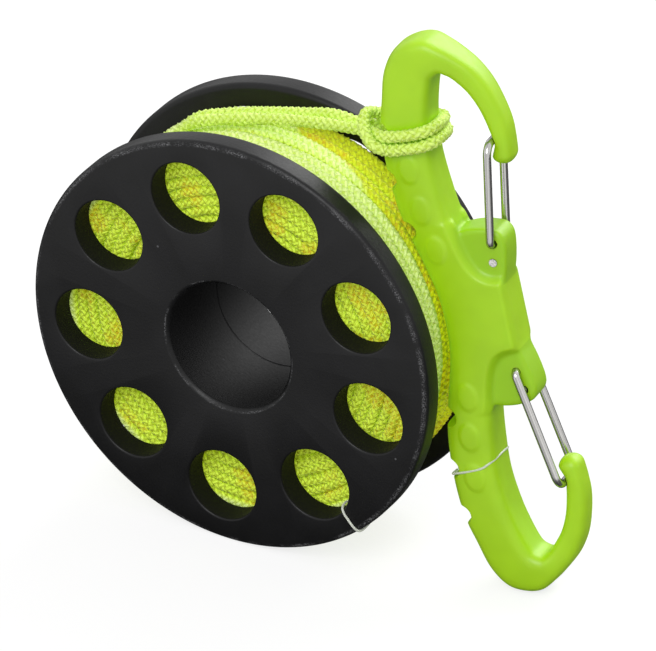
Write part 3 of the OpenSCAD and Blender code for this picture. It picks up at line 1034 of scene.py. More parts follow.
@dataclass
class Spool:
    """The two black halves of the spool."""

    flange_r: float = 45.0
    half_w: float = 16.1
    inner_y: float = 10.6
    rim_round: float = 1.2
    bore_r: float = 13.8
    bore_chamfer: float = 0.8
    rear_chamfer: float = 0.3
    hub_r: float = 16.6
    spigot_r: float = 15.2
    seam_y: float = 3.3
    socket_l: float = 5.0
    seam_edge: float = 0.2
    hole_count: int = 9
    hole_r: float = 7.7
    hole_circle_r: float = 32.5
    hole_angle: float = 107.2
    hole_edge: float = 0.45
    segments: int = 240
    hole_segments: int = 96
    rim_steps: int = 9
    sharp_deg: float = 32.0

    def rim(self) -> list[tuple[float, float]]:
        """Draws the rounded rim.

        Returns:
            The profile's (radius, distance from the middle), from the outer face inwards.
        """
        turn = [math.pi / 2 * i / self.rim_steps for i in range(self.rim_steps + 1)]
        edge, r = self.flange_r - self.rim_round, self.rim_round
        outer = [(edge + r * math.sin(a), self.half_w - r + r * math.cos(a)) for a in turn]
        return outer + [
            (edge + r * math.cos(a), self.inner_y + r - r * math.sin(a)) for a in turn]

    def profile(self, side: Side) -> list[tuple[float, float]]:
        """Draws the closed profile of one half.

        Args:
            side: The half's side.

        Returns:
            The profile's (radius, Y).
        """
        sign = side.value
        chamfer = self.bore_chamfer if side is Side.FRONT else self.rear_chamfer
        soft, relief, gap, lip_gap, seam_gap = chamfer * 0.3, 0.4, 0.05, 0.3, 0.03
        mouth = [(self.bore_r, self.half_w - chamfer - soft),
                 (self.bore_r + soft * 0.4, self.half_w - chamfer + soft * 0.3),
                 (self.bore_r + chamfer - soft * 0.3, self.half_w - soft * 0.4),
                 (self.bore_r + chamfer + soft, self.half_w)]
        outline = [(r, sign * y) for r, y in mouth + self.rim()]
        outline += [(self.hub_r + relief, sign * self.inner_y),
                    (self.hub_r, sign * (self.inner_y - relief))]
        if side is Side.FRONT:
            end, shoulder = self.seam_y - seam_gap, self.seam_y - self.socket_l
            outline += [(self.hub_r, shoulder), (self.spigot_r, shoulder), (self.spigot_r, end),
                        (self.bore_r + self.seam_edge, end), (self.bore_r, end - self.seam_edge)]
        else:
            end, lip = self.seam_y + seam_gap, self.seam_y - self.socket_l + lip_gap
            outline += [(self.hub_r, lip), (self.spigot_r + gap, lip), (self.spigot_r + gap, end),
                        (self.bore_r + self.seam_edge, end), (self.bore_r, end + self.seam_edge)]
        return outline

    def walls(self) -> dict[str, float]:
        """Tells the shader where the walls of the bore and of the holes are.

        Returns:
            The inputs of the walls' group: radii in metres and angles in radians.
        """
        return {"Bore": (self.bore_r + 0.1) * MM, "Circle": self.hole_circle_r * MM,
                "Hole": (self.hole_r + 0.08) * MM, "First": math.radians(self.hole_angle),
                "Step": FULL_TURN / self.hole_count}

    def hole_tool(self, index: int, side: Side) -> bpy.types.Object:
        """Makes the solid that cuts one hole, with rounded edges on the outer face.

        Args:
            index: The hole's number round the flange.
            side: The half's side.

        Returns:
            The helper object.
        """
        angle = math.radians(self.hole_angle + 360 * index / self.hole_count)
        centre = self.hole_circle_r * math.cos(angle), self.hole_circle_r * math.sin(angle)
        steps, past, edge = 4, 1.0, self.hole_edge
        levels = [(self.hole_r, self.inner_y - past)]
        for turn in (math.pi / 2 * i / steps for i in range(steps + 1)):
            levels.append((self.hole_r + edge * (1 - math.cos(turn)),
                           self.half_w - edge + edge * math.sin(turn)))
        levels.append((self.hole_r + edge, self.half_w + past))
        return skin("hole_tool", [
            flat_ring(circle(r, self.hole_segments, centre), side.value * y) for r, y in levels])

    def half(self, side: Side) -> bpy.types.Object:
        """Builds one half of the spool.

        Args:
            side: The half's side.

        Returns:
            The piece.
        """
        outline = self.profile(side)
        around = np.arange(self.segments) * FULL_TURN / self.segments
        rings = [np.array([(r * math.cos(a), y, r * math.sin(a)) for r, y in outline])
                 for a in around]
        made = skin(f"spool_{side.name.lower()}_half", rings, closed=True)
        return cut(made, [self.hole_tool(i, side) for i in range(self.hole_count)])

    def build(self, material: bpy.types.Material) -> None:
        """Builds and dresses both halves.

        Args:
            material: The pieces' material.
        """
        for side in Side:
            made = self.half(side)
            shade(made, self.sharp_deg)
            dress(made, material, "black_plastic", "spool", f"{side.name.lower()}_half")


# ---------------------------------------------------------------- line


@dataclass
class Line:
    """What the wound line and its free end share."""

    line_r: float = 1.12
    plait_height: float = 0.5


@dataclass
class Winding(Line):
    """The line wound on the spool: full layers and a last one, which is lower at the rear.

    The last layer's turns lie at top_places along Y. It bulges towards the front rim, is lowered
    behind the middle, where the clip passes over it, and rises again beside the rear flange. Each
    zone is where along Y such a change starts, counted forwards for the bulge, and its width.
    """

    crown_r: float = 1.26
    first_r: float = 18.1
    layer_rise: float = 2.17
    top_r: float = 39.2
    layers: int = 10
    turns: int = 9
    top_turns: float = 9.9
    top_places: tuple = (-9.2, -9.2, -6.75, -4.4, -2.05, 1.05, 3.3, 5.5, 7.6, 9.25, 9.25)
    top_bulge: float = 0.65
    bulge_zone: Pair = (4.0, 4.0)
    clip_drop: float = 0.44
    drop_zone: Pair = (-1.0, 2.0)
    rear_rise: float = 0.6
    rise_zone: Pair = (8.0, 1.1)
    top_slack: float = 0.1
    reach: float = 9.15
    climb_turns: float = 0.25
    sway: Pair = (0.42, 1.37)
    swell: Pair = (0.22, 2.9)
    flush_turns: float = 1.35
    steps_per_turn: int = 600
    sides: int = 14
    crown_sides: int = 16
    core_sides: int = 6
    seed: int = 7

    def wobble(self, angle: Points, size: float, slow: float) -> Points:
        """Makes a smooth random wobble along the line.

        Args:
            angle: Angle wound so far.
            size: Rough size of the wobble.
            slow: The lowest number of waves in a turn.

        Returns:
            The wobble at each angle.
        """
        waves_added, rough_sum = 6, 2.2
        total = np.zeros_like(angle)
        for k in range(waves_added):
            waves = slow * (1.0 + 0.83 * k + 0.17 * self.random.random())
            total += np.sin(angle * waves + FULL_TURN * self.random.random()) / (1.0 + 0.5 * k)
        return total * size / rough_sum

    def top_rise(self, across: Points) -> Points:
        """Finds how far the last layer stands above its plain radius.

        Args:
            across: Places along Y.

        Returns:
            The rise at each place.
        """
        return (self.top_bulge * ease(ramp(-across, *self.bulge_zone))
                - self.clip_drop * ramp(across, *self.drop_zone)
                + self.rear_rise * ease(ramp(across, *self.rise_zone)))

    def route(self) -> tuple[Points, Points, Points]:
        """Lays out the whole winding as one line.

        Returns:
            Its points, the distance along it, and the number of turns wound so far.
        """
        self.random = np.random.default_rng(self.seed)
        last = self.layers - 1
        total = self.layers * self.turns + self.top_turns
        wound = np.arange(0.0, total, 1 / self.steps_per_turn)
        angle = wound * FULL_TURN
        layer = np.minimum(np.floor(wound / self.turns), self.layers)
        within = wound - layer * self.turns
        top = layer >= self.layers
        pitch = 2 * self.reach / (self.turns - 2)
        across = np.clip((within - self.turns / 2) * pitch, -self.reach, self.reach)
        across = np.where(layer % 2 == 0, across, -across)
        placed = np.interp(within, range(len(self.top_places)), self.top_places)
        across = np.where(top, placed, across)
        bulge = self.top_rise(across)
        radius = self.first_r + self.layer_rise * np.minimum(layer, last)
        radius = np.where(top, self.top_r + bulge, radius)
        to_top = self.top_r - self.first_r - self.layer_rise * last
        rise = np.where(layer >= last, to_top, self.layer_rise)
        climb = ramp(within, self.turns - self.climb_turns, self.climb_turns)
        radius = radius + np.where(top, 0.0, rise) * ease(climb)
        edge, edge_share = 0.01, 0.25
        held = np.where(np.abs(across) < self.reach - edge, 1.0, edge_share)
        across = across + self.wobble(angle, *self.sway) * held
        radius = radius + self.wobble(angle, *self.swell)
        across = np.clip(across, -self.reach, self.reach)
        radius = np.minimum(radius, self.top_r + self.top_slack + bulge)
        points = np.stack([radius * np.cos(angle), across, radius * np.sin(angle)], axis=1)
        return points, run_of(points), wound

    def build(self, follower: Follower, material: bpy.types.Material) -> None:
        """Builds and dresses the winding's pieces, which are stretches of the one line.

        Args:
            follower: Lays the tubes.
            material: The pieces' material.
        """
        points, run, wound = self.route()

        def stretch(low: float, high: float, step: float) -> tuple[Points, Points]:
            """Cuts out the line between two numbers of turns."""
            ends = np.interp([max(low, 0.0), min(high, wound[-1])], wound, run)
            return spaced(points, run, step, *ends)

        flush, count, full = self.flush_turns, self.turns, self.layers - 1
        fine, finest, coarse = 0.45, 0.42, 2.0
        sides = [stretch(k * count - flush, k * count + flush, fine) for k in range(full)]
        core = [stretch(k * count + flush, (k + 1) * count - flush, coarse) for k in range(full)]
        under = stretch(full * count - flush, self.layers * count, fine)
        crown = stretch(self.layers * count, wound[-1], finest)
        plaited = self.line_r, self.sides, self.plait_height
        for name, paths, radius, around, height, *nodes in (
                ("line_side_front", sides[::2], *plaited),
                ("line_side_rear", sides[1::2], *plaited),
                ("line_core", core, self.line_r, self.core_sides, 0.0, "line_winding"),
                ("line_under", [under], *plaited),
                ("line_crown", [crown], self.crown_r, self.crown_sides, self.plait_height)):
            made = follower.lay(name, paths, radius, around, material, height)
            dress(made, material, "yellow_line", "spool", *nodes)


@dataclass
class Tail(Line):
    """The doubled end of the line, hitched round the clip's spine.

    Both ends are led on round the winding by sunk_along, and down into it by sunk_depth.
    """

    diameter: float = 2.4
    sunk_along: float = 5.5
    sunk_depth: float = 1.9
    sides: int = 24
    step: float = 0.3
    route: list = field(default_factory=lambda: [
        [-54.6, 2.8, 43.2], [-48.2, 2.2, 43.7], [-40, 1.6, 43.4], [-31.9, 0.6, 42.8],
        [-24.2, -0.4, 41.8], [-16.8, -1.7, 40.5], [-13.2, -3.9, 40.3], [-11, -6, 40.2],
        [-7.3, -6.6, 40.1], [-3.6, -6.2, 40.2], [-1.5, -4.4, 40.2], [-0.8, -0.2, 40.1],
        [-1.7, 4.4, 39.8], [-3.9, 6.3, 39.7], [-7.2, 6.7, 39.9], [-10.8, 6.3, 40.2],
        [-13, 4.7, 41], [-14.4, 2.6, 42.2], [-15.2, 0.5, 43.2], [-15.4, -1.7, 43.5],
        [-14.9, -4.2, 42.6], [-14, -6.5, 41], [-12.2, -7.9, 39], [-9.9, -7.1, 37.6],
        [-7, -6.6, 37.4], [-3.6, -6.2, 37.4], [-1.5, -4.5, 37.5], [-0.8, -0.2, 37.5],
        [-1.6, 4.4, 37.3], [-3.9, 6.3, 37.2], [-7.4, 6.7, 37.4], [-11, 6.3, 37.8],
        [-13.6, 4.8, 38.6], [-15.8, 2.9, 39.7], [-18.4, 1.6, 40.8], [-24.1, 2.7, 42.6],
        [-31.3, 3.9, 43], [-39.5, 4.5, 43.6], [-47.8, 4.8, 43.9], [-54.2, 5.2, 43.4],
    ])

    def path(self) -> Points:
        """Draws the tail's centreline, with both ends led down into the winding.

        Returns:
            Its points in the row frame.
        """
        placed = ClipPose().place(np.array(self.route))
        line = smooth_list([self.sunk(placed[0]), *placed, self.sunk(placed[-1])], 6)
        return spaced(line, run_of(line), self.step)[0]

    def sunk(self, end: Points) -> Points:
        """Finds a point further round the winding than an end of the tail, and deeper.

        Args:
            end: The end of the tail in the row frame.

        Returns:
            The point in the row frame.
        """
        radius, angle = math.hypot(end[0], end[2]), math.atan2(end[2], end[0])
        angle += self.sunk_along / radius
        radius -= self.sunk_depth
        return np.array([radius * math.cos(angle), end[1], radius * math.sin(angle)])

    def build(self, follower: Follower, material: bpy.types.Material) -> None:
        """Args:
            follower: Lays the tubes.
            material: The pieces' material.
        """
        path = self.path()
        run = run_of(path)
        made = follower.lay("line_tail_braid", [(path, run)], self.line_r, self.sides, material,
                            self.plait_height)
        dress(made, material, "yellow_line", "clip", "line_tail")


# ---------------------------------------------------------------- clip


@dataclass(frozen=True)
class ClipPose:
    """Where the clip stands: its own X is across it, Y through it and Z along it."""

    centre: tuple[float, float, float] = (47.1637, 3.4, 11.63)
    lean: float = 16.0
    back: float = 4.0
    turn: float = 10.3

    def matrix(self) -> Matrix:
        """Builds the turn and the place of the clip, in millimetres.

        Returns:
            The 4 by 4 matrix.
        """
        turn = (Matrix.Rotation(math.radians(-self.lean), 4, "Y")
                @ Matrix.Rotation(math.radians(-self.back), 4, "X")
                @ Matrix.Rotation(math.radians(self.turn), 4, "Z"))
        return Matrix.Translation(self.centre) @ turn

    def place(self, points: Points) -> Points:
        """Moves points from the clip's frame to the row frame."""
        matrix = np.array(self.matrix())
        return np.asarray(points, float) @ matrix[:3, :3].T + matrix[:3, 3]


@dataclass
class ClipLayout:
    """What the clip's body and its gates share, in the clip's frame and for its upper half."""

    floor_y: float = 3.625
    wire_r: float = 0.825
    pivot: Pair = (5.5, 11.5)
    slot: Pair = (6.1, 15.4)
    cross: Pair = (9.8, 36.0)


@dataclass
class Clip(ClipLayout):
    """The moulded body of the double-ended clip.

    A rib is the back X and Z and the front X and Z of one section. A pad is the place of a grip.
    """

    hook_top: float = 59.6
    half_t: float = 5.3
    nose_half_t: float = 3.0
    notch_r: float = 2.1
    voxel: float = 0.33
    softening_rounds: int = 9
    sharp_deg: float = 45.0
    ring_points: int = 56
    spine_ribs: list = field(default_factory=lambda: [
        [-7.3, 0, 0.5, 0], [-7.7, 6, 0.3, 6], [-9.1, 12, -0.2, 12], [-10.9, 18.5, -1.2, 18.5],
        [-12.2, 25, -2.1, 25], [-12.7, 33, -2.7, 33.5], [-12.2, 41, -2, 40.6],
    ])
    hook_ribs: list = field(default_factory=lambda: [
        [-10.7, -12.6, -0.8, -13.8], [-9.1, -7.1, 0.6, -9.9], [-6.3, -3, 1.8, -8.9],
        [-2.7, -1.4, 2.6, -8.6], [0.8, -1.3, 3, -8.7], [3.6, -2.9, 3.5, -9.2],
        [6.1, -4.8, 4.1, -9.6], [9.2, -7.8, 5.1, -10.8], [11.6, -11.6, 6.9, -13.2],
        [13.1, -15.9, 8.5, -16.7], [14, -20.4, 9.5, -20.6], [13.9, -24.3, 10.2, -24.5],
    ])
    hook_thin: tuple = (0.03, 0.08, 0.12, 0.18, 0.26, 0.38, 0.52, 0.7, 0.84, 0.94, 1, 1)
    spine_square: float = 4.2
    nose_square: float = 2.9
    nose_round: tuple = (11.4, -26.4)
    nose_r: float = 2.4
    block_side: tuple = (
        (6.95, 0), (6.95, 4), (7.15, 7.2), (7.9, 10), (8.5, 12.8), (8.75, 15), (8.55, 16.6),
        (7.5, 17.9), (5.5, 18.5), (3, 18.8), (0, 18.5), (-3, 17))
    floor_edge: tuple = (
        (12, 7.4), (6.3, 7.5), (4.1, 7.9), (2.3, 9.1), (0.9, 11.6), (0.05, 14.5), (-0.6, 17.5),
        (-1.2, 19.5))
    face_edge: tuple = (
        (12, 6.35), (6.2, 6.4), (3.6, 6.9), (1.5, 8.4), (0, 11.1), (-0.95, 14.2), (-1.7, 17.5),
        (-2.3, 19.5))
    block_round: float = 0.8
    block_end: float = 19.5
    upper_lift: float = 1.2
    notches: tuple = ((-10.6, 19.7), (-12.4, 30.6), (-12.0, 40.6))
    pads: tuple = ((-5.2, 15.6), (-6.6, 24), (-7.3, 32.6))
    pad_reach: Pair = (2.15, 2.95)
    pad_height: float = 0.36

    def ribs(self) -> Points:
        """Lists the sections of the upper half, from the middle of the spine to the nose.

        Returns:
            Rows of back x, back z, front x, front z, half thickness and squareness.
        """
        hooks = [[r[0], self.hook_top + r[1], r[2], self.hook_top + r[3]] for r in self.hook_ribs]
        thin = [0.0] * len(self.spine_ribs) + list(self.hook_thin)
        rows = [[*rib, self.half_t + (self.nose_half_t - self.half_t) * t,
                 self.spine_square + (self.nose_square - self.spine_square) * t]
                for rib, t in zip(self.spine_ribs + hooks, thin)]
        # Two mirrored ribs below the middle keep the curve smooth across it.
        steps, mirrored = 6, 2
        below = [[r[0], -r[1], r[2], -r[3], r[4], r[5]] for r in rows[1:1 + mirrored]][::-1]
        curve = smooth_list(below + rows, steps)[mirrored * steps:]
        nose, nose_steps, nose_deg = [], 8, 89
        for i in range(1, nose_steps + 1):
            a = math.radians(nose_deg * i / nose_steps)
            x, z = self.nose_round
            z = self.hook_top + z - self.nose_r * math.sin(a)
            reach, thick = self.nose_r * math.cos(a), self.nose_half_t * math.cos(a)
            nose.append([x + reach, z, x - reach, z, thick, self.nose_square])
        return np.concatenate([curve, nose])

    def ring(self, rib: Points) -> Points:
        """Draws one section as a rounded rectangle.

        Args:
            rib: The section's numbers, as ribs lists them.

        Returns:
            Its points in the clip's frame.
        """
        a = (np.arange(self.ring_points) + 0.5) * FULL_TURN / self.ring_points
        c, d = (np.sign(wave) * np.abs(wave) ** (2 / rib[5]) for wave in (np.cos(a), np.sin(a)))
        return np.stack([(rib[0] + rib[2]) / 2 + (rib[0] - rib[2]) / 2 * c, rib[4] * d,
                         (rib[1] + rib[3]) / 2 + (rib[1] - rib[3]) / 2 * c], axis=1)

    def bar(self) -> bpy.types.Object:
        """Builds the bent bar with both hooks.

        Returns:
            The helper object.
        """
        upper = self.ribs()
        lower = upper[:0:-1] * np.array([1, -1, 1, -1, 1, 1])
        return skin("bar", [self.ring(r) for r in np.concatenate([lower, upper])])

    @staticmethod
    def inset(outline: Points, by: float) -> Points:
        """Moves every point of a closed outline inwards.

        Args:
            outline: The outline.
            by: How far to move its points.

        Returns:
            The smaller outline.
        """
        step = np.roll(outline, -1, axis=0) - np.roll(outline, 1, axis=0)
        step /= np.linalg.norm(step, axis=1, keepdims=True)
        return outline + by * np.stack([-step[:, 1], step[:, 0]], axis=1)

    @staticmethod
    def mirrored(side: Points) -> Points:
        """Joins a side that starts at the clip's middle to its mirror image below."""
        return np.concatenate([side[:0:-1] * [1, -1], side])

    def ears(self) -> bpy.types.Object:
        """Builds the two thin ears that hold the gates' feet, as one plate.

        Returns:
            The helper object.
        """
        outline = self.mirrored(smooth_list(self.block_side, 4))
        steps, r = 3, self.block_round
        levels = [(-self.floor_y, r)]
        for turn in (math.radians(90 / steps * i) for i in range(1, steps + 1)):
            levels.append((-self.floor_y + r * (1 - math.cos(turn)), r * (1 - math.sin(turn))))
        levels += [(-y, by) for y, by in levels[::-1]]
        return skin("ears", [flat_ring(self.inset(outline, by), y) for y, by in levels])

    def saddle(self, face: int) -> bpy.types.Object:
        """Builds the raised middle of the block on one face, which slopes down to the two recesses.

        Args:
            face: The sign of the face's place through the clip.

        Returns:
            The helper object.
        """
        steps, edge_points, behind, lift_over = 5, 60, -5.0, 5.0
        rings = []
        # Each level is its height, its edge, its X on the right and its inset.
        for y, edge, right, by in ((self.floor_y - 1.2, self.floor_edge, 7.0, 0.0),
                                   (self.floor_y, self.floor_edge, 6.95, 0.0),
                                   (self.half_t - 0.35, self.face_edge, 6.75, 0.0),
                                   (self.half_t, self.face_edge, 6.3, 0.3)):
            curve = smooth_list(edge, steps)
            level = np.interp(right, curve[::-1, 0], curve[::-1, 1]) - by
            kept = curve[curve[:, 0] < right] - [by, by * 0.5]
            run = np.concatenate([[[right, level]], kept])
            at = run_of(run)
            at = at / at[-1]
            share = np.linspace(0, 1, edge_points)
            run = np.stack([np.interp(share, at, run[:, k]) for k in range(2)], axis=1)
            side = np.concatenate([
                [[right, 0.0], [right, level * 0.5]], run, [[behind, self.block_end]]])
            flat = self.mirrored(side)
            flat[:, 1] += self.upper_lift * ramp(flat[:, 1], 0.0, lift_over)
            rings.append(flat_ring(flat, face * y))
        return skin("saddle", rings)

    def raise_pads(self, mesh: bpy.types.Mesh) -> None:
        """Raises the shallow oval grips on both faces.

        Args:
            mesh: The mesh of the clip's body, in the clip's frame.
        """
        rim, rim_width, crown = 1.15, 0.36, 0.25
        place, normal = points_of(mesh) / MM, points_of(mesh, "normal")
        lift = np.zeros(len(place))
        for x, z in self.pads:
            far = np.hypot((place[:, 0] - x) / self.pad_reach[0],
                           (np.abs(place[:, 2]) - z) / self.pad_reach[1])
            edge = ease(ramp(-far, -rim, rim_width))
            lift = np.maximum(lift, edge * (1 - crown * np.minimum(far, 1) ** 2))
        facing = ramp(np.abs(normal[:, 1]), 0.6, 0.3)
        place[:, 1] += np.sign(place[:, 1]) * lift * facing * self.pad_height
        mesh.vertices.foreach_set("co", (place * MM).ravel())
        mesh.update()

    def mark_recess_shade(self, mesh: bpy.types.Mesh) -> None:
        """Marks the thin floors of the recesses, which the material paints darker as shade.

        Args:
            mesh: The mesh of the clip's body, in the clip's frame.
        """
        x, y, z = points_of(mesh).T / MM
        up = np.abs(z)
        saddle_end, flank_end, flank_edge = 3.0, 7.0, 0.2 - self.block_side[0][0]
        deep = ramp(-np.abs(y), 0.5 - self.half_t, 1.0)
        near = ramp(x, -1.8, 1.0) * (up < self.block_end) * (up > saddle_end)
        flank = ramp(-x, flank_edge, 0.8) + (up > flank_end)
        mark(mesh, "thin", deep * near * np.clip(flank, 0, 1))

    def cutters(self) -> list[bpy.types.Object]:
        """Makes what cuts the finger notches, the wires' holes and the cross wires' grooves.

        Returns:
            The helper objects.
        """
        loose, snug, slot_run = self.wire_r + 0.12, self.wire_r + 0.07, 0.18
        through, past, hole_sides, notch_sides = 8.0, 1.5, 32, 48
        (x, z), tools = self.slot, []
        holes = (("foot", self.slot, loose), ("foot", (x + slot_run, z), loose),
                 ("pivot", self.pivot, snug), ("groove", self.cross, loose))
        for half in Half:
            for x, z in self.notches:
                tools.append(rod("notch", (x, half.value * z), self.notch_r, self.half_t + past,
                                 notch_sides))
            for name, (x, z), radius in holes:
                tools.append(rod(name, (x, half.value * z), radius, through, hole_sides))
        return tools

    def build(self, material: bpy.types.Material) -> None:
        """Builds and dresses the clip's body.

        Args:
            material: The piece's material.
        """
        made = join("clip_shell", [self.bar(), self.ears(), self.saddle(1), self.saddle(-1)])
        melt = made.modifiers.new("melt", "REMESH")
        melt.mode, melt.voxel_size, melt.use_smooth_shade = "VOXEL", self.voxel * MM, True
        soften = made.modifiers.new("soften", "SMOOTH")
        soften.factor, soften.iterations = 0.5, self.softening_rounds
        settle(made)
        self.raise_pads(made.data)
        for tool in self.cutters():
            cut(made, [tool])
        self.mark_recess_shade(made.data)
        made.data.transform(Matrix.Scale(MM, 4) @ ClipPose().matrix() @ Matrix.Scale(1 / MM, 4))
        made.data.update()
        shade(made, self.sharp_deg)
        dress(made, material, "lime_plastic", "clip", "clip_body")


@dataclass
class Gates(ClipLayout):
    """The two sprung wire gates. flex_from and flex_to are where a wire bends as its gate opens;
    nothing here bends it.
    """

    leg_y: float = 4.6
    leg_gap: float = 0.15
    bend: float = 2.325
    sides: int = 28
    step: float = 0.25
    flex_from: Pair = (7.0, 15.8)
    flex_to: Pair = (9.8, 34.0)

    @staticmethod
    def corner(before: Points, at: Points, after: Points, radius: float) -> list[Points]:
        """Rounds one corner of the wire.

        Args:
            before: The corner before it.
            at: The corner.
            after: The corner after it.
            radius: The radius of the bend.

        Returns:
            The points of the arc.
        """
        u, w = (way / np.linalg.norm(way) for way in (before - at, after - at))
        half = math.acos(float(u @ w)) / 2
        centre = at + (u + w) / np.linalg.norm(u + w) * radius / math.sin(half)
        start = at + u * radius / math.tan(half) - centre
        finish = at + w * radius / math.tan(half) - centre
        sweep, steps = math.pi - 2 * half, 12
        return [centre + (start * math.sin(sweep * (1 - i / steps))
                          + finish * math.sin(sweep * i / steps)) / math.sin(sweep)
                for i in range(steps + 1)]

    def path(self, half: Half) -> Points:
        """Draws the bent wire of one gate, its two ends inside the block.

        Args:
            half: The half of the clip that holds the gate.

        Returns:
            Its points in the row frame.
        """
        (sx, sz), (px, pz), (cx, cz) = self.slot, self.pivot, self.cross
        clear, past_slot, past_pivot = 0.01, 0.1, 0.12
        foot = self.wire_r + self.leg_gap + clear
        p = [np.array(v, float) for v in (
            (sx, self.floor_y + past_slot, sz), (sx, -self.leg_y, sz), (cx, -self.leg_y, cz),
            (cx, self.leg_y, cz), (px, self.leg_y, pz), (px, -self.floor_y - past_pivot, pz))]
        line = [p[0]]
        for i, radius in enumerate((foot, self.bend, self.bend, foot)):
            line += self.corner(*p[i:i + 3], radius)
        points = np.array(line + [p[5]])
        if half is Half.LOWER:
            points = points * np.array([1, -1, -1])
        return ClipPose().place(points)

    def build(self, follower: Follower, material: bpy.types.Material) -> None:
        """Builds and dresses both gates.

        Args:
            follower: Lays the tubes.
            material: The pieces' material.
        """
        for half in Half:
            path = self.path(half)
            path = spaced(path, run_of(path), self.step)[0]
            name = half.name.lower()
            made = follower.lay(
                f"wire_gate_{name}", [(path, run_of(path))], self.wire_r, self.sides, material)
            bend = ClipPose().place(
                [[x, 0.0, half.value * z] for x, z in (self.flex_from, self.flex_to)])
            dress(made, material, "gate_wire", f"{name}_gate", f"{name}_gate", bend=bend)


# ---------------------------------------------------------------- retail tie


@dataclass
class Tie:
    """The clear retail tie: one loop on the front flange and one round the clip's lower leg."""

    tie_r: float = 0.25
    sides: int = 12
    knot_r: float = 0.55
    knot_points: int = 60
    angle: float = -48.9
    rim_loop: tuple = (
        (39.3, -12.4), (38.9, -14.2), (39.3, -15.7), (40.4, -16.32), (42.0, -16.4),
        (43.7, -16.36), (44.8, -15.9), (45.27, -14.8), (45.27, -12.2), (44.9, -10.7),
        (43.6, -10.25), (41.6, -10.2), (40.3, -10.3), (39.8, -11.0))
    rim_knot: Pair = (39.4, -11.6)
    clip_knot: tuple = (-12.2, 4.9, -32.65)
    clip_loop: tuple = (
        (-12.75, -0.6, -32.4), (-12.45, -3.6, -32), (-11.2, -4.95, -31.5), (-9, -5.45, -31.2),
        (-5.5, -5.4, -30.7), (-3.9, -4.8, -30), (-2.95, -3.4, -29.6), (-2.55, -0.4, -29.4),
        (-2.8, 3.4, -29.9), (-3.9, 4.85, -30.6), (-5.6, 5.4, -31.4), (-9, 5.45, -32.2),
        (-11.3, 4.95, -32.6), (-12.5, 3.6, -32.7), (-12.75, 0.4, -32.5))

    def knot(self, at: Points) -> Points:
        """Draws a small overhand knot as a tight curl of the filament.

        Args:
            at: The knot's middle.

        Returns:
            Its points.
        """
        turns, waves, reach, swing, depth, lift, size = 1.9, 1.5, 0.34, 0.16, 0.3, 0.2, 0.7
        t = np.linspace(0, FULL_TURN * turns, self.knot_points)
        wide = reach + swing * np.cos(waves * t)
        curl = np.stack([wide * np.cos(t), depth * np.sin(waves * t), wide * np.sin(t)], axis=1)
        along = np.outer(np.linspace(-lift, lift, self.knot_points), [0.0, 1.0, 0.0])
        return at + curl * self.knot_r / size + along

    def build(self, follower: Follower, material: bpy.types.Material) -> None:
        """Builds and dresses both loops with their knots.

        Args:
            follower: Lays the tubes.
            material: The pieces' material.
        """
        c, s = math.cos(math.radians(self.angle)), math.sin(math.radians(self.angle))
        rim, *knot = ([(r * c, y, r * s) for r, y in rows]
                      for rows in (self.rim_loop, [self.rim_knot]))
        pose = ClipPose()
        for name, loop, at, body, node in (
                ("tie_rim_loop", smooth_list(rim, 6), knot[0][0], "spool", "tie_on_spool"),
                ("tie_clip_loop", pose.place(smooth_list(self.clip_loop, 6)),
                 pose.place([self.clip_knot])[0], "clip", "tie_on_clip")):
            curl = self.knot(np.array(at))
            paths = [(loop, run_of(loop)), (curl, run_of(curl))]
            made = follower.lay(name, paths, self.tie_r, self.sides, material)
            dress(made, material, "clear_tie", body, node)


# ---------------------------------------------------------------- studio


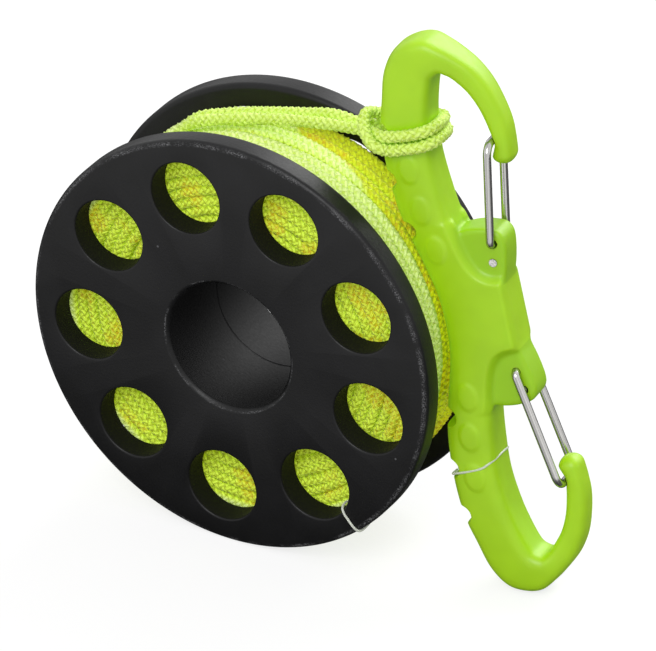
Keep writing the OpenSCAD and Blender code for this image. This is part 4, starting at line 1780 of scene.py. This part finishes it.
@dataclass
class Studio:
    """Camera, white surroundings, pale floor and soft lamps. Its lengths are in metres."""

    eye: tuple = (0.7539655, -1.3051005, 0.8800689)
    right: tuple = (0.8698, 0.4934, 0.0)
    up: tuple = (-0.2495, 0.4398, 0.8628)
    lens: float = 480.93
    floor_z: float = -0.045
    floor_reach: float = 4.0
    floor_glow: float = 0.78
    ambient: float = 0.52
    lamps: tuple = (("key", (0.2, -1.0, 0.95), 0.7, 9.0), ("top", (0.15, 0.9, 0.75), 0.9, 10.0))

    @staticmethod
    def aim(made: bpy.types.Object, place: tuple, right: Points, up: Points) -> None:
        """Places a camera or a lamp, whose picture has the given right and up.

        Args:
            made: The camera or lamp.
            place: Its place in metres.
            right: The direction of its own X.
            up: The direction of its own Y.
        """
        back = np.cross(right, up)
        turn = Matrix([[right[i], up[i], back[i]] for i in range(3)]).to_4x4()
        made.matrix_world = Matrix.Translation(place) @ turn

    def camera(self) -> None:
        """Makes the camera."""
        data = bpy.data.cameras.new("camera")
        data.sensor_fit, data.sensor_width, data.lens = "HORIZONTAL", 36.0, self.lens
        data.clip_start, data.clip_end = 0.1, 20.0
        made = link("camera", data)
        self.aim(made, self.eye, np.array(self.right), np.array(self.up))
        bpy.context.scene.camera = made

    @staticmethod
    def shows_white(tree: Tree) -> object:
        """Marks the rays for which the surroundings are plain white.

        Args:
            tree: The tree to add the nodes to.

        Returns:
            A socket that is 1 for camera, glossy and transmission rays.
        """
        path = tree.add("ShaderNodeLightPath").outputs
        seen = tree.math("MAXIMUM", path["Is Camera Ray"], path["Is Glossy Ray"])
        return tree.math("MAXIMUM", seen, path["Is Transmission Ray"])

    def world(self) -> None:
        """Makes the white world, dimmer for the light that it casts."""
        world = bpy.data.worlds.new("surroundings")
        world.use_nodes = True
        bpy.context.scene.world = world
        tree = Tree(world.node_tree)
        share = tree.math("MULTIPLY_ADD", self.shows_white(tree), 1.0 - self.ambient, self.ambient)
        tree.fill(tree.data.nodes["Background"], {"Color": (1.0,) * 4, "Strength": share})

    def floor(self) -> None:
        """Makes the pale floor, which shows the object's shadow faintly. In reflections it is
        painted darker, and darker still towards the spool, as painted shade.
        """
        far, z = self.floor_reach / MM, self.floor_z / MM
        made = mesh_object("floor", np.array([
            (-far, -far, z), (far, -far, z), (far, far, z), (-far, far, z)]), [(0, 1, 2, 3)])
        material = bpy.data.materials.new("pale_floor")
        material.use_nodes = True
        tree = Tree(material.node_tree)
        principled = tree.data.nodes["Principled BSDF"]
        where = tree.add("ShaderNodeTexCoord").outputs["Object"]
        path = tree.add("ShaderNodeLightPath").outputs
        camera, glossy = path["Is Camera Ray"], path["Is Glossy Ray"]
        # Seen in reflections, the floor takes a darker colour: painted shade in what it mirrors.
        dark, light, seen_tone, mirrored_tone = ((tone,) * 3 for tone in (0.44, 0.46, 0.28, 0.06))
        base = tree.mix(camera, tree.mix(tree.noise(where, scale=8.0), dark, light), seen_tone)
        tree.fill(principled, {"Base Color": tree.mix(glossy, base, mirrored_tone),
                               "Roughness": 0.9, "Specular IOR Level": 0.1})
        # In reflections the floor's glow fades from far away to under the spool: painted shade near
        # it.
        near_y, under_y, faint = -0.17, -0.01, 0.03
        nearer = tree.spread(tree.split(where)[1], near_y, under_y, 1.0, faint)
        seen = tree.math("MAXIMUM", camera, path["Is Transmission Ray"])
        strength = tree.math("MAXIMUM", tree.math("MULTIPLY", glossy, nearer),
                             tree.math("MULTIPLY", seen, self.floor_glow))
        glow = tree.add("ShaderNodeEmission", {"Color": (1.0,) * 4, "Strength": strength})
        both = tree.add("ShaderNodeAddShader")
        for socket, shader in zip(both.inputs, (principled, glow)):
            tree.feed(socket, shader.outputs[0])
        tree.feed(tree.data.nodes["Material Output"].inputs["Surface"], both.outputs[0])
        made.data.materials.append(material)

    def lamp(self, name: str, place: tuple, size: float, power: float) -> None:
        """Makes a square soft lamp that faces the object.

        Args:
            name: The lamp's name.
            place: Its place.
            size: The length of its sides.
            power: Its power in watts.
        """
        data = bpy.data.lights.new(name, "AREA")
        data.shape, data.size, data.energy = "SQUARE", size, power
        back = np.array(place, float) / np.linalg.norm(place)
        right = np.cross([0, 0, 1], back)
        right = right / np.linalg.norm(right)
        self.aim(link(name, data), place, right, np.cross(back, right))

    def build(self) -> None:
        """Builds the studio."""
        self.camera()
        self.world()
        self.floor()
        for lamp in self.lamps:
            self.lamp(*lamp)
        bpy.context.scene.view_settings.view_transform = "Standard"


def main() -> None:
    """Builds the part and its studio."""
    logging.basicConfig(level=logging.INFO, format="%(name)s: %(message)s")
    Studio().build()
    follower = Follower()
    groups = {"grain": moulded_grain_group(), "wear_and_highlight": wear_and_highlight_ring_group(),
              "plait": plait_group(), "walls": deep_walls_group()}
    wound = BraidedNylon("braided_line_wound", 0.5).material(groups)
    free = BraidedNylon("braided_line_free", 0.5, wound=False).material(groups)
    spool = Spool()
    # The black plastic's scuffed rings also carry a painted highlight, and its deep walls get
    # painted shade.
    black = MouldedPlastic(
        "satin_black_plastic", 0.38, dark=(0.0052, 0.0052, 0.0055),
        light=(0.0078, 0.0078, 0.0084), specular=0.26, grain_depth=0.035,
        speck_colour=(0.14, 0.14, 0.15), speck_size=0.06,
        rings=((44.3, 0.55, 15.2), (14.55, 0.25, 15.8)), walls=spool.walls()).material(groups)
    # The lime plastic's recess floors are painted darker, as shade.
    lime = MouldedPlastic(
        "lime_plastic", 0.42, dark=(0.4, 0.7, 0.002), light=(0.435, 0.755, 0.004),
        grain_scale=900.0, grain_depth=0.008, specular=0.6, speck_size=0.03,
        speck_colour=(0.3, 0.6, 0.0), softness=0.3, recess_shade_colour=(0.34, 0.64, 0.0)
    ).material(groups)
    steel = DrawnWire("drawn_spring_wire", 0.2).material(groups)
    clear = ClearFilament("clear_filament", 0.2).material(groups)
    Tail().build(follower, free)
    spool.build(black)
    Winding().build(follower, wound)
    Clip().build(lime)
    Gates().build(follower, steel)
    Tie().build(follower, clear)


if __name__ == "__main__":
    main()
